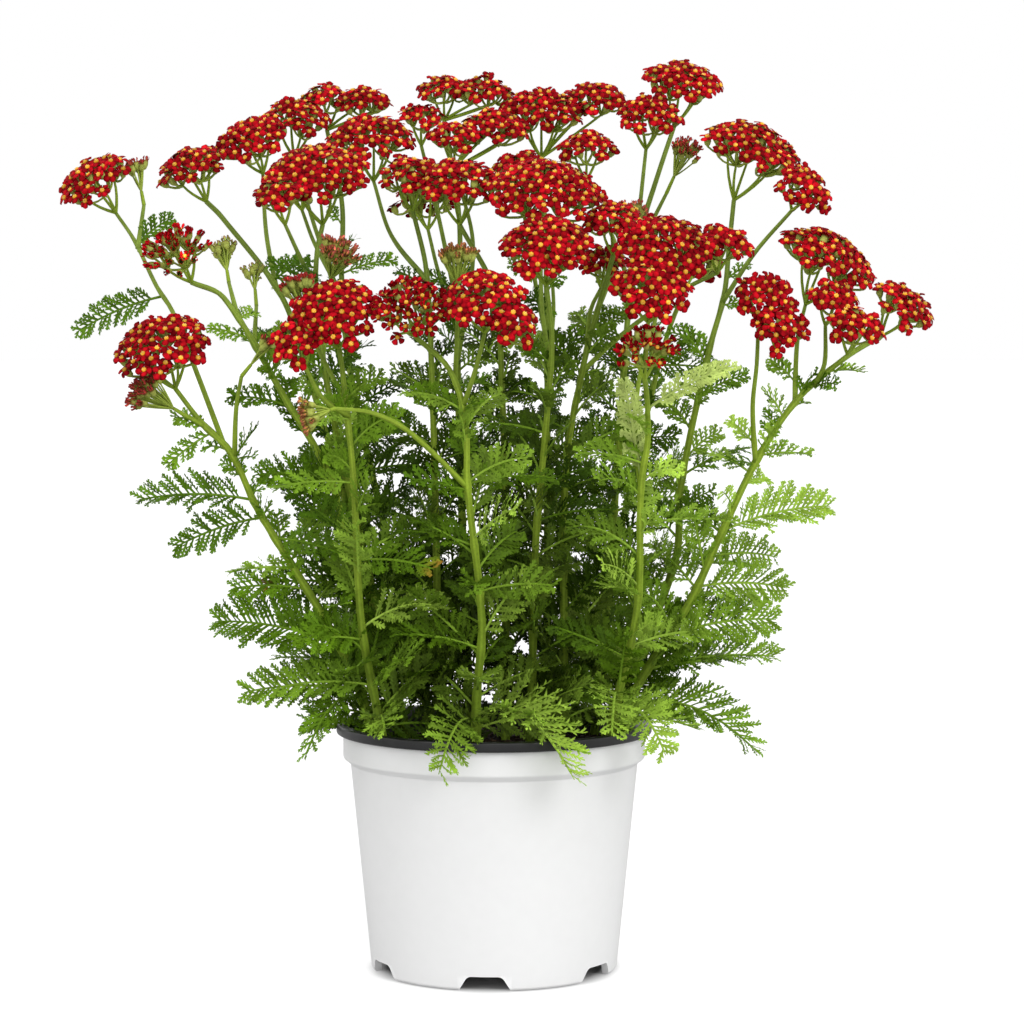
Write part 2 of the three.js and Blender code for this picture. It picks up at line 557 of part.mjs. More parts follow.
// The stalks in their order round the end of their limb.
function sortRound(stalks, end, ahead) {
  const [across, other] = crossAxes(ahead);
  const rounds = stalks.map((stalk) => {
    const aside = stalk.end.clone().sub(end);
    return { ...stalk, bearing: Math.atan2(aside.dot(other), aside.dot(across)) };
  });
  return rounds.sort((a, b) => a.bearing - b.bearing);
}

// The stalks stand on the triangles between the limb's last ring and a point above its end.
function addStalks(mesh, stalks, end, ahead, ringStart) {
  const apex = addCorner(mesh, end.clone().addScaledVector(ahead, HUB_RISE));
  stalks.forEach((stalk, index) => {
    const next = (index + 1) % stalks.length;
    addStalk(mesh, [apex, ringStart + index, ringStart + next], stalk);
  });
}

// A stalk ends flat under a head, or swells into a closed bud with a pointed end.
function addStalk(mesh, foot, { end, girth, bud }) {
  const middle = foot.reduce((sum, corner) => sum.add(mesh.corners[corner]), new THREE.Vector3());
  middle.divideScalar(STALK_SIDES);
  const along = end.clone().sub(middle).normalize();
  const ring = foot.map((corner) => {
    const aside = mesh.corners[corner].clone().sub(middle);
    aside.addScaledVector(along, -aside.dot(along)).normalize();
    return addCorner(mesh, end.clone().addScaledVector(aside, girth));
  });
  for (let side = 0; side < STALK_SIDES; side += 1) {
    const beside = (side + 1) % STALK_SIDES;
    mesh.triangles.push([foot[side], foot[beside], ring[beside]], [foot[side], ring[beside], ring[side]]);
  }
  if (!bud) {
    mesh.triangles.push(ring);
    return;
  }
  const tip = addCorner(mesh, end.clone().addScaledVector(along, BUD_TIP));
  ring.forEach((corner, side) => mesh.triangles.push([corner, ring[(side + 1) % STALK_SIDES], tip]));
}

// ---------------------------------------------------------------- flower heads

function headFrame([x, y, z, radius, ...facing]) {
  const normal = new THREE.Vector3(...facing).normalize();
  const turn = new THREE.Quaternion().setFromUnitVectors(UP, normal);
  return { middle: new THREE.Vector3(x, y, z), radius, normal, turn, rim: radius - RIM_INSET };
}

// The domed face of a head's core, in the head's own frame.
function crownOf(rim) {
  const rise = CROWN_RISE * rim;
  const at = (x, y) => new THREE.Vector3(x, y, rise * (1 - (x * x + y * y) / (rim * rim)));
  const normalAt = (x, y) => new THREE.Vector3(2 * rise * x, 2 * rise * y, rim * rim).normalize();
  return { at, normalAt };
}

// Florets in rings from the rim inwards: [distance from the middle, angle] each.
function floretPlaces(rim, size, draw) {
  const pitch = FLORET_PITCH * size;
  const places = [];
  let ring = FLORET_REACH * rim - FLORET_WAIST * size;
  while (ring > pitch / 2) {
    const fits = Math.PI / Math.asin(Math.min(1, pitch / (2 * ring)));
    const count = Math.floor(fits + 0.05);
    const phase = draw() * 2 * Math.PI;
    for (let index = 0; index < count; index += 1) {
      places.push([ring, phase + index * 2 * Math.PI / count]);
    }
    ring -= pitch;
  }
  if (ring > -0.02 * pitch || !places.length) places.push([0, 0]);
  return places;
}

// A floret: an eye that stands out of the crown, and petals that lift away round it.
// Gives the floret's waist on the crown as flat points and as corner numbers.
function addFloret(mesh, crown, [distance, angle], size, draw) {
  const x = distance * Math.cos(angle);
  const y = distance * Math.sin(angle);
  const normal = crown.normalAt(x, y);
  const lean = new THREE.Quaternion().setFromUnitVectors(UP, normal);
  const spin = draw() * 2 * Math.PI;
  const eye = addCorner(mesh, crown.at(x, y).addScaledVector(normal, EYE_LIFT * size));
  const waist = eachOf(PETALS, (petal) => {
    const bearing = spin + petal * 2 * Math.PI / PETALS;
    const reach = FLORET_WAIST * size;
    return new THREE.Vector2(x + reach * Math.cos(bearing), y + reach * Math.sin(bearing));
  });
  const ring = waist.map((place) => addCorner(mesh, crown.at(place.x, place.y)));
  for (let petal = 0; petal < PETALS; petal += 1) {
    const bearing = spin + (petal + 0.5) * 2 * Math.PI / PETALS;
    const lift = PETAL_LIFT * (1 + PETAL_UNEVENNESS * (2 * draw() - 1));
    const end = addCorner(mesh, new THREE.Vector3(Math.cos(bearing), Math.sin(bearing), 0)
      .multiplyScalar(FLORET_RADIUS * size)
      .addScaledVector(UP, lift)
      .applyQuaternion(lean)
      .add(crown.at(x, y)));
    const next = ring[(petal + 1) % PETALS];
    mesh.triangles.push([eye, ring[petal], end], [eye, end, next], [ring[petal], next, end]);
  }
  return { waist, ring };
}

function flowerHead(head, seed) {
  const { middle, radius, turn, rim } = headFrame(head);
  const draw = draws(seed);
  const crown = crownOf(rim);
  const mesh = { corners: [], triangles: [] };
  const rimSides = Math.max(RIM_SIDES, Math.round(2 * Math.PI * rim / RIM_STEP));
  const rimLine = eachOf(rimSides, (side) => {
    const angle = side * 2 * Math.PI / rimSides;
    const reach = rim * (1 - RIM_UNEVENNESS * draw());
    return new THREE.Vector2(reach * Math.cos(angle), reach * Math.sin(angle));
  });
  const rimCorners = rimLine.map(({ x, y }) => addCorner(mesh, crown.at(x, y)));

  const size = THREE.MathUtils.clamp(radius / FULL_SIZE_HEAD, FLORET_LEAST_SIZE, 1);
  const florets = floretPlaces(rim, size, draw).map((place) => addFloret(mesh, crown, place, size, draw));
  const crownCorners = [...rimCorners, ...florets.flatMap(({ ring }) => ring)];
  const crownFaces = THREE.ShapeUtils.triangulateShape(rimLine, florets.map(({ waist }) => waist));
  crownFaces.forEach((face) => mesh.triangles.push(face.map((corner) => crownCorners[corner])));

  const under = addCorner(mesh, new THREE.Vector3(0, 0, -CORE_DEPTH * rim));
  rimCorners.forEach((corner, side) => {
    mesh.triangles.push([corner, under, rimCorners[(side + 1) % rimSides]]);
  });
  mesh.corners.forEach((corner) => corner.applyQuaternion(turn).add(middle));
  return facetedSolid(mesh);
}

function bloom(heads, index) {
  return wasm.Manifold.union(heads.map((head, place) => flowerHead(head, 101 + index * 7 + place)));
}

// Where a branch stops under a head, and its stalks start.
function headFoot(head) {
  const { middle, normal, radius } = headFrame(head);
  return middle.clone().addScaledVector(normal, -(STALK_DROP_GROWTH * radius + STALK_DROP));
}

// Where the stalks of a head end, just under its core.
function headStalks(head, count) {
  const { middle, normal, turn, rim } = headFrame(head);
  return eachOf(count, (index) => {
    const angle = (index + 0.25) * 2 * Math.PI / count;
    const reach = STALK_REACH * rim;
    const depth = CORE_DEPTH * rim * (1 - STALK_REACH);
    const end = new THREE.Vector3(reach * Math.cos(angle), reach * Math.sin(angle), -depth)
      .applyQuaternion(turn)
      .add(middle)
      .addScaledVector(normal, -FIT_GAP - STALK_TIP_GIRTH);
    return { end, girth: STALK_TIP_GIRTH, bud: false };
  });
}

// A branch has four stalks, or three for each of two heads, and one fewer for a small head.
function stalksUnder(heads) {
  const full = heads.length > 1 ? 3 : 4;
  return heads.flatMap((head) => headStalks(head, headFrame(head).radius < SMALL_HEAD ? full - 1 : full));
}

function budStalks([x, y, z, radius], root) {
  const middle = new THREE.Vector3(x, y, z);
  const turn = new THREE.Quaternion().setFromUnitVectors(UP, middle.clone().sub(root).normalize());
  const count = radius < SMALL_CLUSTER ? 3 : 4;
  const reach = Math.max(radius - BUD_RADIUS, BUD_SPREAD);
  return eachOf(count, (index) => {
    const angle = index * 2 * Math.PI / count;
    const place = new THREE.Vector3(reach * Math.cos(angle), reach * Math.sin(angle), 0);
    return { end: place.applyQuaternion(turn).add(middle), girth: BUD_RADIUS, bud: true };
  });
}

// ---------------------------------------------------------------- leaves

// The point of a path at a height.
function pointAtHeight(points, height) {
  const above = points.findIndex((point, index) => index > 0 && point.z >= height);
  const upper = above < 0 ? points.length - 1 : above;
  const lower = upper - 1;
  const share = (height - points[lower].z) / (points[upper].z - points[lower].z);
  return points[lower].clone().lerp(points[upper], share);
}

// The arched middle line of a leaf, and the way its blade faces along it.
function leafLine(base, heading, rise, length, sag) {
  const bearing = THREE.MathUtils.degToRad(heading);
  const climb = THREE.MathUtils.degToRad(rise);
  const lean = THREE.MathUtils.degToRad(LEAF_LEAN);
  const out = new THREE.Vector3(Math.cos(bearing), Math.sin(bearing), 0);
  const away = base.y > BACK_OF_PLANT ? 1 : -1;
  const facing = new THREE.Vector3(0, away * Math.sin(lean), Math.cos(lean));
  const at = (share) => base.clone()
    .addScaledVector(out, length * share * Math.cos(climb))
    .addScaledVector(UP, length * (share * Math.sin(climb) - sag * share * share));
  const frameAt = (share) => {
    const ahead = at(share + 0.02).sub(at(share - 0.02)).normalize();
    const face = facing.clone().addScaledVector(ahead, -facing.dot(ahead)).normalize();
    return { ahead, face, side: face.clone().cross(ahead) };
  };
  return { length, at, frameAt };
}

// The rib's ridge and its two lower edges at a place along it.
function addRibCorners(mesh, { at, frameAt }, share) {
  const { face, side } = frameAt(share);
  const width = RIB_HALF_WIDTH * (1 - RIB_TAPER * share);
  const height = RIB_HEIGHT * (1 - RIB_TAPER * share);
  return [
    addCorner(mesh, at(share).addScaledVector(face, height)),
    addCorner(mesh, at(share).addScaledVector(side, width)),
    addCorner(mesh, at(share).addScaledVector(side, -width)),
  ];
}

// The pointed pinna on each side of a step of the rib.
function addPinnaPair(mesh, { length, at, frameAt }, share, lower, upper) {
  const { ahead, face, side } = frameAt(share);
  const outline = THREE.MathUtils.lerp(...LEAF_OUTLINE, share);
  const reach = length * LEAF_HALF_WIDTH * Math.sin(Math.PI * outline);
  [[1, lower[1], upper[1]], [-1, lower[2], upper[2]]].forEach(([sign, near, far]) => {
    const end = addCorner(mesh, at(share)
      .addScaledVector(side, sign * reach)
      .addScaledVector(ahead, reach * PINNA_SWEEP)
      .addScaledVector(face, reach * PINNA_LIFT));
    const faces = [[lower[0], end, near], [lower[0], upper[0], end], [upper[0], far, end], [near, end, far]];
    faces.forEach(([a, b, c]) => mesh.triangles.push(sign > 0 ? [a, b, c] : [a, c, b]));
  });
}

// A feather leaf: a bare stalk, then pairs of pinnae along the rib up to its pointed end.
function leaf(base, [, heading, rise, length, sag = LEAF_SAG], turn) {
  const line = leafLine(base, heading + turn, rise, length, sag);
  const pairs = Math.max(PINNA_PAIRS, Math.round(length * (1 - PETIOLE) / PINNA_PITCH));
  const stations = [0, ...eachOf(pairs, (pair) => PETIOLE + (1 - PETIOLE) * pair / pairs)];
  const mesh = { corners: [], triangles: [[0, 1, 2]] };
  const rings = stations.map((share) => addRibCorners(mesh, line, share));
  for (let step = 0; step < pairs; step += 1) {
    const [lower, upper] = [rings[step], rings[step + 1]];
    mesh.triangles.push([lower[1], upper[1], upper[2]], [lower[1], upper[2], lower[2]]);
    if (step > 0) addPinnaPair(mesh, line, (stations[step] + stations[step + 1]) / 2, lower, upper);
  }
  const [[foot, footLeft, footRight], [top, left, right]] = rings;
  mesh.triangles.push([foot, top, footLeft], [top, left, footLeft]);
  mesh.triangles.push([foot, footRight, top], [top, footRight, right]);
  const [lastTop, lastLeft, lastRight] = rings[pairs];
  const tip = addCorner(mesh, line.at(1));
  mesh.triangles.push([lastTop, tip, lastLeft], [lastTop, lastRight, tip], [lastLeft, tip, lastRight]);
  return facetedSolid(mesh);
}

// ---------------------------------------------------------------- shoots

// The stem and branches of a shoot, with their stalks and buds.
function woodOf(branches) {
  return wasm.Manifold.union(branches.map((branch, index) => {
    const points = stemPoints(branch);
    const heads = (branch.heads ?? []).map(([name, place]) => BLOOMS[name][place]);
    if (heads.length) points.push(headFoot(heads[0]));
    const stalks = branch.buds ? budStalks(branch.buds, points[points.length - 1]) : stalksUnder(heads);
    const girths = index === 0 ? [STEM_GIRTH, STEM_TOP_GIRTH] : [BRANCH_GIRTH, BRANCH_TOP_GIRTH];
    return limb(points, ...girths, stalks.length, stalks);
  }));
}

function boxesMeet(a, b, room) {
  return [0, 1, 2].every((axis) => a.min[axis] < b.max[axis] + room && b.min[axis] < a.max[axis] + room);
}

function isClear(solid, others) {
  const box = solid.boundingBox();
  return others.every((other) => !boxesMeet(box, other.boundingBox(), LEAF_CLEARANCE)
    || solid.minGap(other, LEAF_CLEARANCE) >= LEAF_CLEARANCE);
}

// The leaf at the first turn from its heading that keeps it clear of the other solids.
function clearLeaf(branch, plan, others) {
  const base = pointAtHeight(stemPoints(branch), plan[0]);
  for (const turn of LEAF_TURNS) {
    const solid = leaf(base, plan, turn);
    if (isClear(solid, others)) return solid;
  }
  throw new Error(`no room for the leaf at ${plan}`);
}

// The solids of each shoot: its wood, and its leaves in the order of the plan.
function growLeaves(wood, fixed) {
  const names = Object.keys(wood);
  const grown = Object.fromEntries(names.map((name) => [name, [wood[name]]]));
  names.forEach((name) => {
    const neighbours = names.filter((other) => other !== name);
    SHOOTS[name].forEach((branch) => (branch.leaves ?? []).forEach((plan) => {
      const others = [...fixed, ...neighbours.flatMap((other) => grown[other])];
      grown[name].push(clearLeaf(branch, plan, others));
    }));
  });
  return grown;
}

// ---------------------------------------------------------------- materials and the scene graph

const MATERIALS = {
  petals: { color: 0xb0101c, roughness: 0.6, metalness: 0 },
  foliage: { color: 0x5c8a34, roughness: 0.65, metalness: 0 },
  white: { color: 0xf1f2f3, roughness: 0.38, metalness: 0 },
  black: { color: 0x1b1c1e, roughness: 0.45, metalness: 0 },
  earth: { color: 0x2b1f18, roughness: 0.95, metalness: 0 },
};

function addNode(group, name, solid, material) {
  const mesh = new THREE.Mesh(toGeometry(solid), new THREE.MeshStandardMaterial(MATERIALS[material]));
  mesh.name = name;
  group.add(mesh);
}

const yarrow = new THREE.Group();

const pot = { pot_shell: potShell(), pot_liner: potLiner(), soil: soil() };
addNode(yarrow, 'pot_shell', pot.pot_shell, 'white');
addNode(yarrow, 'pot_liner', pot.pot_liner, 'black');
addNode(yarrow, 'soil', pot.soil, 'earth');

const blooms = Object.values(BLOOMS).map(bloom);
Object.keys(BLOOMS).forEach((name, index) => addNode(yarrow, name, blooms[index], 'petals'));

const wood = Object.fromEntries(Object.entries(SHOOTS).map(([name, branches]) => [name, woodOf(branches)]));
const grown = growLeaves(wood, [...Object.values(pot), ...blooms]);
Object.entries(grown).forEach(([name, parts]) => {
  addNode(yarrow, name, wasm.Manifold.union(parts), 'foliage');
});

export default yarrow;
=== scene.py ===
# Red yarrow in its nursery pot: the finished plant over the CAD solids.
# Lengths are millimetres and headings degrees, as in the part's own source, unless a comment says
# otherwise. Meshes are made in metres.

import json
import math

import bpy
import numpy as np
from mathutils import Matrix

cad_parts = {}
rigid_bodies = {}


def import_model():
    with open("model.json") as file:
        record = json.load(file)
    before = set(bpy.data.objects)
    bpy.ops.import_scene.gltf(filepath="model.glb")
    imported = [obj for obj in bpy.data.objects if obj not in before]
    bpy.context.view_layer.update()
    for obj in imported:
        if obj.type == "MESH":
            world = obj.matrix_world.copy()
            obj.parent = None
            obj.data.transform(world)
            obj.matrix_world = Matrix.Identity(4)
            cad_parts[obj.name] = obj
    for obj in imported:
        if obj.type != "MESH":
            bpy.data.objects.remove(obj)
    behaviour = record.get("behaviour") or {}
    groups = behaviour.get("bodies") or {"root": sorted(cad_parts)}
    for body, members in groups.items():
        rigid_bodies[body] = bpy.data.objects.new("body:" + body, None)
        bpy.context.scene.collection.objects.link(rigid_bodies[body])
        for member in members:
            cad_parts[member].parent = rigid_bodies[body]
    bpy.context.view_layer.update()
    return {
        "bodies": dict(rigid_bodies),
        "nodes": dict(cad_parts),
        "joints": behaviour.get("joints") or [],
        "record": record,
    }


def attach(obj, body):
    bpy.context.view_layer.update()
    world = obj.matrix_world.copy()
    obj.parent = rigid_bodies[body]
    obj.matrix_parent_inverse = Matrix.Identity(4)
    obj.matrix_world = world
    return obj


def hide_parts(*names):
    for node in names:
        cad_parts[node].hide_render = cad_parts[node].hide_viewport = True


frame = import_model()

MM = 0.001
UP, ACROSS, BACK = np.eye(3)[2], np.eye(3)[0], np.eye(3)[1]

# ---------------------------------------------------------------- dimensions shared with the solids

POT_LIP_RADIUS, POT_LIP_TOP, POT_LIP_BOTTOM, POT_LIP_WIDTH = 84, 131, 125.9, 5
POT_COLLAR_RADIUS, POT_COLLAR_BOTTOM, POT_COLLAR_STEP, POT_BODY_TOP_RADIUS = 80.4, 110, 3, 76.5
POT_FOOT_RADIUS, POT_FOOT_BEVEL, POT_FOOT_WIDTH, POT_FLOOR = 65.6, 1.2, 3, 8
SHELL_WALL, LINER_WALL, LINER_FIT, FIT_GAP, CUT_PAST = 1.9, 1.3, 0.45, 0.3, 2
NOTCHES, NOTCH_HEIGHT, NOTCH_TOP_WIDTH, NOTCH_FOOT_WIDTH, NOTCH_PHASE = 6, 7.5, 18, 27, -94
DRAINS, DRAIN_RADIUS, DRAIN_CIRCLE = 4, 4, 38
SOIL_TOP, SOIL_FIT, STEM_FOOT = 120, 1.2, 100
SOIL_SHARES, SOIL_LIFTS = [0, 0.4, 0.75, 1], [1, 1, 0, -2]     # of its radius, and over SOIL_TOP
STEM_GIRTH, BRANCH_GIRTH = 2.6, 1.5
STALK_DROP, STALK_DROP_GROWTH, STALK_REACH = 5, 0.9, 0.55
RIM_INSET, CROWN_RISE = 0.5, 0.4
LEAF_HALF_WIDTH, LEAF_OUTLINE, PINNA_SWEEP, PINNA_LIFT = 0.26, (0.2, 0.92), 0.55, 0.12
PETIOLE, LEAF_SAG, LEAF_LEAN, BACK_OF_PLANT = 0.14, 0.2, 50, 40
LEAF_TURNS = [0, 14, -14, 28, -28, 42, -42, 56, -56, 72, -72, 90, -90]

# ---------------------------------------------------------------- dimensions of the fine surface

PINNA_SEED, HEAD_SEED, SOIL_SEED, BLOOM_SEED, SHOOT_SEED = 5, 17, 71, 300, 500

POT_SIDES, BEND_STEPS, CREASE = 128, 4, 28      # edges bent by more degrees than CREASE look sharp
FOOT_BENDS, COLLAR_BENDS, RIM_BENDS = (0.3, 0.5, 0.5), (0.5, 0.9), (0.4, 0.3)
LIP_BENDS, LINER_BENDS = (1.2, 0.9, 0.8), (0.5, 0.2, 1.5, 0.5)
WALL_RINGS = (8.2, 9.2, 60)                     # heights, the first two just over the notches
NOTCH_BEND, NOTCH_STEPS, NOTCH_FROM, NOTCH_TO = 2.2, 5, 56, 72
DRAIN_SIDES, DRAIN_TOP = 24, 14

SOIL_SIDES, SOIL_RINGS, SOIL_MIDDLE, SOIL_EASE, SOIL_ROUGHNESS = 96, 40, 0.02, 0.85, 0.35
SOIL_WAVES = ((0.06, 0.35), (0.12, 0.25), (0.25, 0.2), (0.5, 0.15), (0.9, 0.12))    # pitch, height
CRUMBS, CRUMB_SIZES, CRUMB_SHARES = 760, [0.7, 1.0, 1.5, 2.4], [0.35, 0.35, 0.22, 0.08]
CRUMB_KINDS = [0.55, 0.40, 0.05]                # shares of dark mix, of bark and of perlite

STEM_TOP_GIRTH, STEM_STEP, STEM_SIDES, STEM_RIDGES = 1.25, 3.6, 12, 0.085
BRANCH_TOP_GIRTH, BRANCH_STEP, BRANCH_SIDES, BRANCH_RIDGES = 1.0, 4.5, 8, 0.05
JOINT_SWELLING, JOINT_REACH = 0.20, 3.5
STEM_MID, STEM_MID_SPAN, STEM_HIGH_FROM, STEM_HIGH_SPAN = 120, 160, 280, 90     # where its green changes

LOBE_PITCH, PINNA_END, MOST_LOBES, PINNA_KINDS = 2.9, 1.6, 6, 4
AXIS_HALF_WIDTH, LOBE_HALF_WIDTH, AXIS_END = 0.70, 0.46, 0.84
LOBE_FROM, LOBE_SPAN, LOBE_LENGTH, LOBE_TAPER, LOBE_ANGLES = 0.18, 0.64, 2.1, 0.5, (28, 44)
END_LOBES = ((30, 1.7), (-30, 1.7), (3, 1.9))   # angle and length
SHOULDER, SPLIT_SHARE, SPLIT_DIP = 0.62, 0.3, 0.80
SPLIT_TIPS = ((0.92, 1.5), (1.04, -1.1))        # how far along and aside the two teeth of a lobe are

PINNA_PITCH, SIDE_LEAF_PITCH, FILL_LEAF_PITCH = 2.85, 2.5, 3.4
PINNAE_FROM, PINNAE_TO, PINNA_STAGGER = PETIOLE * 0.8, 0.985, 0.2
LEAF_RIB_GIRTHS, LEAF_RIB_SIDES, LEAF_RIB_STEP, WING_STEPS = [0.80, 0.25], 5, 6, 9
WING_SHARES, WING_WIDTHS = [0, PETIOLE, 0.4, 1], [0.5, 0.6, 0.85, 0.5]
REACHES, SWEEPS, END_SWEEP, FOLDS = (0.78, 1.05), (1.1, 1.7), 0.9, (-0.05, 0.42)
ROLL_SPREAD, CURL_SPREAD, FOLD_SPREAD, TWIST_SPREAD = 0.22, 0.55, 0.13, 0.32     # radians
DROOP, DROOP_SPREAD, NARROWING = 0.04, 0.13, 0.2
LIGHT_SPREAD, PAINTED_LIGHT_ACROSS, PAINTED_SHADE_BACK = 0.13, 0.0012, 0.0016     # the last two are painted light to the right and painted shade to the back, for each millimetre
# the last of these is painted shade on the high leaves; the middle one makes the low leaves at the front
# lighter
USUAL_LIGHT, LOW_FRONT_LIGHT, HIGH_SHADE = 0.50, 0.48, 0.18
PALE, UPPER_LIGHT, TIREDNESS = 1.5, 0.42, 0.7
ROOM_HEIGHTS, ROOM_REACHES = [110, 150, 200, 260, 330, 400], [100, 116, 122, 118, 108, 100]

FILL_START, FILL_STEPS, FILL_TURN, FILL_TURN_SPREAD = (122, 138), (6.5, 13), 137.5, 14
FILL_LONG, FILL_SHORT, FILL_SAGS = (60, 30), (20, 30), (0.10, 0.50)
FILL_TOP, FILL_TOP_OUTSIDE, OUTSIDE = 385, 325, 95
FILL_LOW, FILL_LOW_RISES, FILL_RISES = 150, (20, 62), (28, 68)
FILL_FOOT, FILL_HEIGHT, FILL_CLOSE_BELOW, FILL_CLOSER = 120, 225, 160, 0.8
ROOMY_BELOW, ROOM_PAST, ROOM_SQUEEZE, LOWEST_TIP = 170, 20, 1.08, 122
# the last of these paints shade to the back, for each millimetre
FILL_LIGHT, FILL_LIGHT_SPAN, FILL_PAINTED_SHADE_BACK = 0.34, 0.34, 0.0022
SIDE_LEAF_RISES, SIDE_LEAF_LENGTHS, SIDE_LEAF_SAG = (15, 40), (13, 24), 0.35

HEAD_PITCH, HEAD_SPREAD = 6.55, 0.07            # between neighbouring flower heads of a cluster
CROWDING = 0.26                                 # by which shut flower heads stand closer
CLOSE_PACKING = 0.866                           # room that each takes, in squares of the pitch
EDGE_DROP = 1.2                                 # by which a cluster's outermost heads hang lower
HEAD_SIZE, HEAD_GROWTH, OPENING_STEPS = 0.76, 0.06, 4
HEAD_TILT, TILT_SPREAD, TILT_FORWARD = 0.52, 0.22, 0.12
RAY_LENGTH, RAY_HALF_WIDTH, RAY_START, RAY_NOTCH = 3.5, 2.1, 1.1, 0.13
RAY_OUTLINE = ((0, 0.36), (0.38, 0.84), (0.76, 1.0), (1.0, 0.66))      # share of its length, width
FOLDED_RAY_OUTLINE = ((0, 0.42), (0.6, 1.0), (1.0, 0.66))
RAY_COLUMNS, FOLDED_RAY_COLUMNS, USUAL_RAYS = 4, 3, 5
RAY_KINDS = [5, 5, 5, 6, 5, 4, 5, 6]            # how many rays the flower heads have
# the last of these is the range of each ray's random painted shade, for its own tilt to the light
RAY_SHUT, RAY_SIZES, RAY_PAINTED_SHADES = 96, (0.92, 1.06), (0.46, 1.26)
DISC_SIDES, DISC_RINGS, DISC_TOP = 7, ((1.42, 0.0), (1.16, 0.50)), 0.85      # radius and height
FLORETS, FLORET_CIRCLE, FLORET_SIDES = 5, 0.78, 4
CUP_RINGS = [(0.55, -6.0), (1.55, -4.6), (2.05, -2.9), (1.95, -1.2), (1.60, 0.05)]     # the same
CUP_SIDES, BUD_CUP_SIDES, CUP_KINDS, CUP_FOOT = 7, 5, 4, 5.9
STALK_GIRTHS, HUB_GIRTHS = (0.75, 0.62), (0.95, 0.65)
BUD_PITCH, BUD_SIZES, BUD_TIP_SIZE = 3.8, (0.74, 0.94), 0.85
BUD_STALK_GIRTHS, BUD_HUB_GIRTHS = (0.55, 0.42), (1.1, 0.9)

# ---------------------------------------------------------------- colours (linear)

LEAF_GREENS = np.array([          # deep, middle, light and pale
    [0.026, 0.076, 0.003], [0.120, 0.236, 0.008], [0.400, 0.600, 0.072], [0.400, 0.500, 0.130]])
LEAF_TIRED = np.array([0.420, 0.200, 0.030])
STEM_LOW, STEM_HIGH, STEM_TOP, STALK_GREEN = np.array([
    [0.160, 0.250, 0.020], [0.270, 0.380, 0.034], [0.205, 0.290, 0.045], [0.340, 0.430, 0.065]])
# the last of these is painted shade on the cups' top ring, under the rays
CUP_GREEN, CUP_EDGE, CUP_MOUTH_SHADE = np.array([
    [0.420, 0.480, 0.100], [0.260, 0.230, 0.045], [0.120, 0.050, 0.012]])
# the second of these is painted shade on the rays' sides and tips
RED_BRIGHT, RED_PAINTED_SHADE, RED_WARM = np.array([
    [0.535, 0.005, 0.013], [0.070, 0.0005, 0.002], [0.460, 0.012, 0.006]])
DISC_GOLD, DISC_RIM, DISC_CREAM = np.array([
    [0.860, 0.430, 0.030], [0.640, 0.180, 0.010], [0.930, 0.760, 0.280]])
WHITE, BLACK = np.array([[0.870, 0.870, 0.870], [0.0095, 0.0095, 0.0100]])
SOIL_DARK, SOIL_BARK, SOIL_LIGHT = np.array([
    [0.034, 0.021, 0.013], [0.085, 0.050, 0.028], [0.260, 0.220, 0.170]])

# ---------------------------------------------------------------- stage, light and camera (metres)

FLOOR_REACH, FLOOR_DROP, FLOOR_GREY, FLOOR_ROUGHNESS, FLOOR_GLOW = 30, 0.0004, 0.46, 0.9, 0.58
SHADOW_FROM, SHADOW_TO = 0.057, 0.069           # the floor's glow fades out towards the pot's foot, a painted shadow just round it
WORLD_LIGHT = 1.10
LIGHT_TARGET, LIGHT_SIZE = (0, 0, 0.25), 1.2    # the lights' powers are in watts
KEY_PLACE, KEY_POWER = (1.5, -2.2, 1.6), 27
FILL_PLACE, FILL_POWER = (-1.5, -1.9, 1.4), 8
CAMERA_PLACE, CAMERA_PITCH, CAMERA_CLIP = (0.0095, -1.600, 0.340), 86.53, 100
CAMERA_LENS, CAMERA_SENSOR = 106.14, 36         # millimetres

# ---------------------------------------------------------------- the plan of the plant

